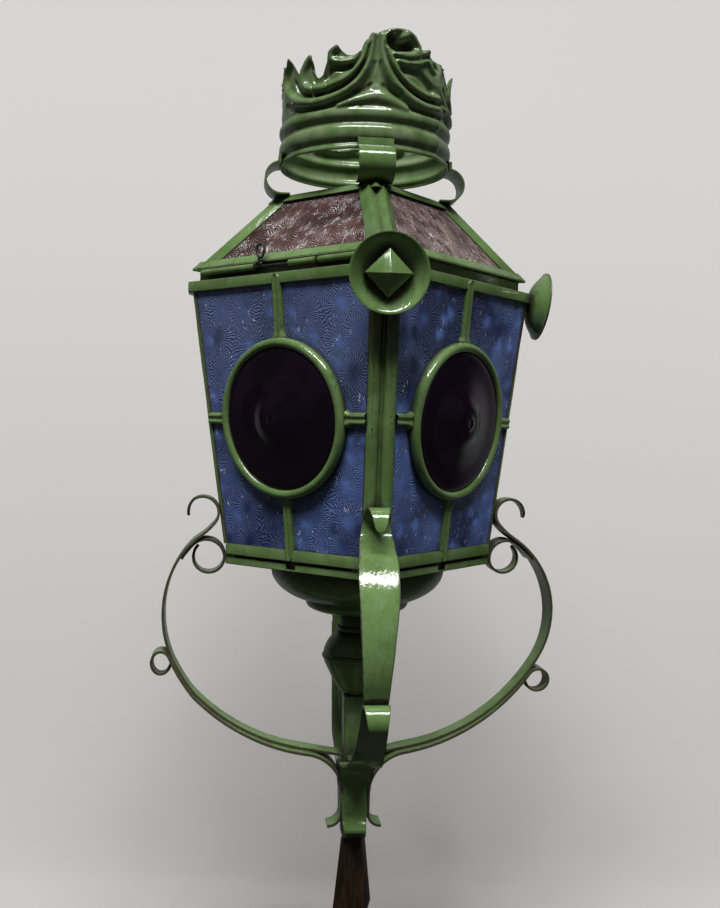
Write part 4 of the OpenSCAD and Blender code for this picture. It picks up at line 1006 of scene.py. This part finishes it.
def sweep():
    """A floor, a cove and a wall in one sheet, facing the camera."""
    sheet = bmesh.new()
    front = [sheet.verts.new((-BOARD_HALF, -BOARD_HALF, 0)), sheet.verts.new((BOARD_HALF, -BOARD_HALF, 0))]
    floor = bmesh.ops.extrude_edge_only(sheet, edges=[sheet.edges.new(front)])["geom"]
    bmesh.ops.translate(sheet, verts=verts_of(floor), vec=(0, BOARD_HALF + WALL_BACK - COVE, 0))
    cove = bmesh.ops.spin(sheet, geom=edges_of(floor), cent=(0, WALL_BACK - COVE, COVE), axis=(1, 0, 0),
                          angle=radians(90), steps=16)["geom_last"]
    upright = bmesh.ops.extrude_edge_only(sheet, edges=edges_of(cove))["geom"]
    bmesh.ops.translate(sheet, verts=verts_of(upright), vec=(0, 0, WALL_HIGH))
    bmesh.ops.recalc_face_normals(sheet, faces=sheet.faces)
    if sum(face.normal.z for face in sheet.faces) < 0:
        bmesh.ops.reverse_faces(sheet, faces=sheet.faces)
    sheet.transform(about("Z", VIEW_TURN))
    return sheet


pale_board, place, board = new_finish("pale_board", Roughness=0.9, Specular_IOR_Level=0.1, Emission_Strength=1.0)
shown = place.ray("Camera")
mirrored = place.maths("MAXIMUM", place.ray("Glossy"), place.ray("Transmission"))
normal = place.node("NewGeometry", (), (), "Normal")
level = normal.along(2)
lit = place.maths("MAXIMUM", normal.vector("DOT_PRODUCT", LAMP_SIDE, 1), 0.3)
# Painted shade: the board is evened out against the lamps, then painted darker towards the bottom.
painted_falloff = 0.53 + 0.21 * place.along(2).step(-0.1, 0.9)
even = 0.53 * place.maths("DIVIDE", 1, lit) * painted_falloff * (0.97 + 0.06 * place.noise(1.4, 2))
tone = place.node("CombineColor", (), {0: even, 1: 0.995 * even, 2: 0.985 * even})
aside = place.vector("MULTIPLY", (1, 1, 0)).vector("LENGTH", (0, 0, 0), 1)
near = 1 - aside.step(0.6, 1.05)
dark = place.mix(mirrored * (1 - level) * near, DARK_BOARD, MIRRORED_BOARD)
place.mix(shown, dark, tone).feed(board, "Base Color")
# Painted light: for the camera the board glows a little, which lifts the lantern's shadow on it.
place.mix(shown, NO_GLOW, BOARD_GLOW).feed(board, "Emission Color")
behind = place.maths("MAXIMUM", place.node("NewGeometry", (), (), "Backfacing"), place.ray("Shadow"))
one_sided = place.node("MixShader", (), {0: behind, 1: Thread(board.outputs[0]), 2: place.node("BsdfTransparent")})
one_sided.feed(pale_board.node_tree.nodes["Material Output"], "Surface")
new_object("studio_sweep", sweep(), pale_board)


# The room is dim and even. A long row of soft lamps hangs high up in front of the lantern, and one wide lamp lights
# it from behind.
DIM_ROOM, MIRRORED_ROOM, SHOWN_ROOM = (0.045, 0.045, 0.048, 1), (0.07, 0.07, 0.075, 1), (0.62, 0.62, 0.615, 1)
# Each lamp's strength, and in degrees its width, its height over the floor and its turn round the lantern
LAMPS = {f"ceiling_lamp_{k}": (0.95, 14, 61, 33 + 20 * (k - 2)) for k in range(5)}
LAMPS["back_lamp"] = (1.3, 40, 32, 216)

world = bpy.data.worlds.new("studio_room")
bpy.context.scene.world = world
world.use_nodes = True
room = world.node_tree
direct = Thread(room.nodes.new("ShaderNodeLightPath").outputs["Is Camera Ray"])
mirrored = direct.maths("MAXIMUM", direct.ray("Glossy"), direct.ray("Transmission"))
tone = direct.mix(mirrored, DIM_ROOM, MIRRORED_ROOM)
direct.mix(direct, tone, SHOWN_ROOM).feed(room.nodes["Background"], "Color")

for name, (power, wide, up, turn) in LAMPS.items():
    lamp = bpy.data.lights.new(name, "SUN")
    lamp.energy = power
    lamp.angle = radians(wide)
    set_up(name, lamp).rotation_euler = (radians(90 - up), 0, radians(turn))


# The camera stands a little under a metre away at the height of the body, to the left of the near corner, and is
# tilted down and rolled by about a degree.
VIEW_AWAY, VIEW_HIGH = 0.855, 0.4579
VIEW_DOWN, VIEW_ROLL, VIEW_ASIDE = 1.16, -0.99, -0.02

lens = bpy.data.cameras.new("photograph")
lens.lens = 40.6
lens.clip_end = 30
view = set_up("photograph", lens)
view.location = (VIEW_AWAY * sin(radians(VIEW_TURN)), -VIEW_AWAY * cos(radians(VIEW_TURN)), VIEW_HIGH)
view.rotation_euler = (radians(90 - VIEW_DOWN), radians(VIEW_ROLL), radians(VIEW_TURN + VIEW_ASIDE))
bpy.context.scene.camera = view
bpy.context.scene.view_settings.view_transform = "Standard"
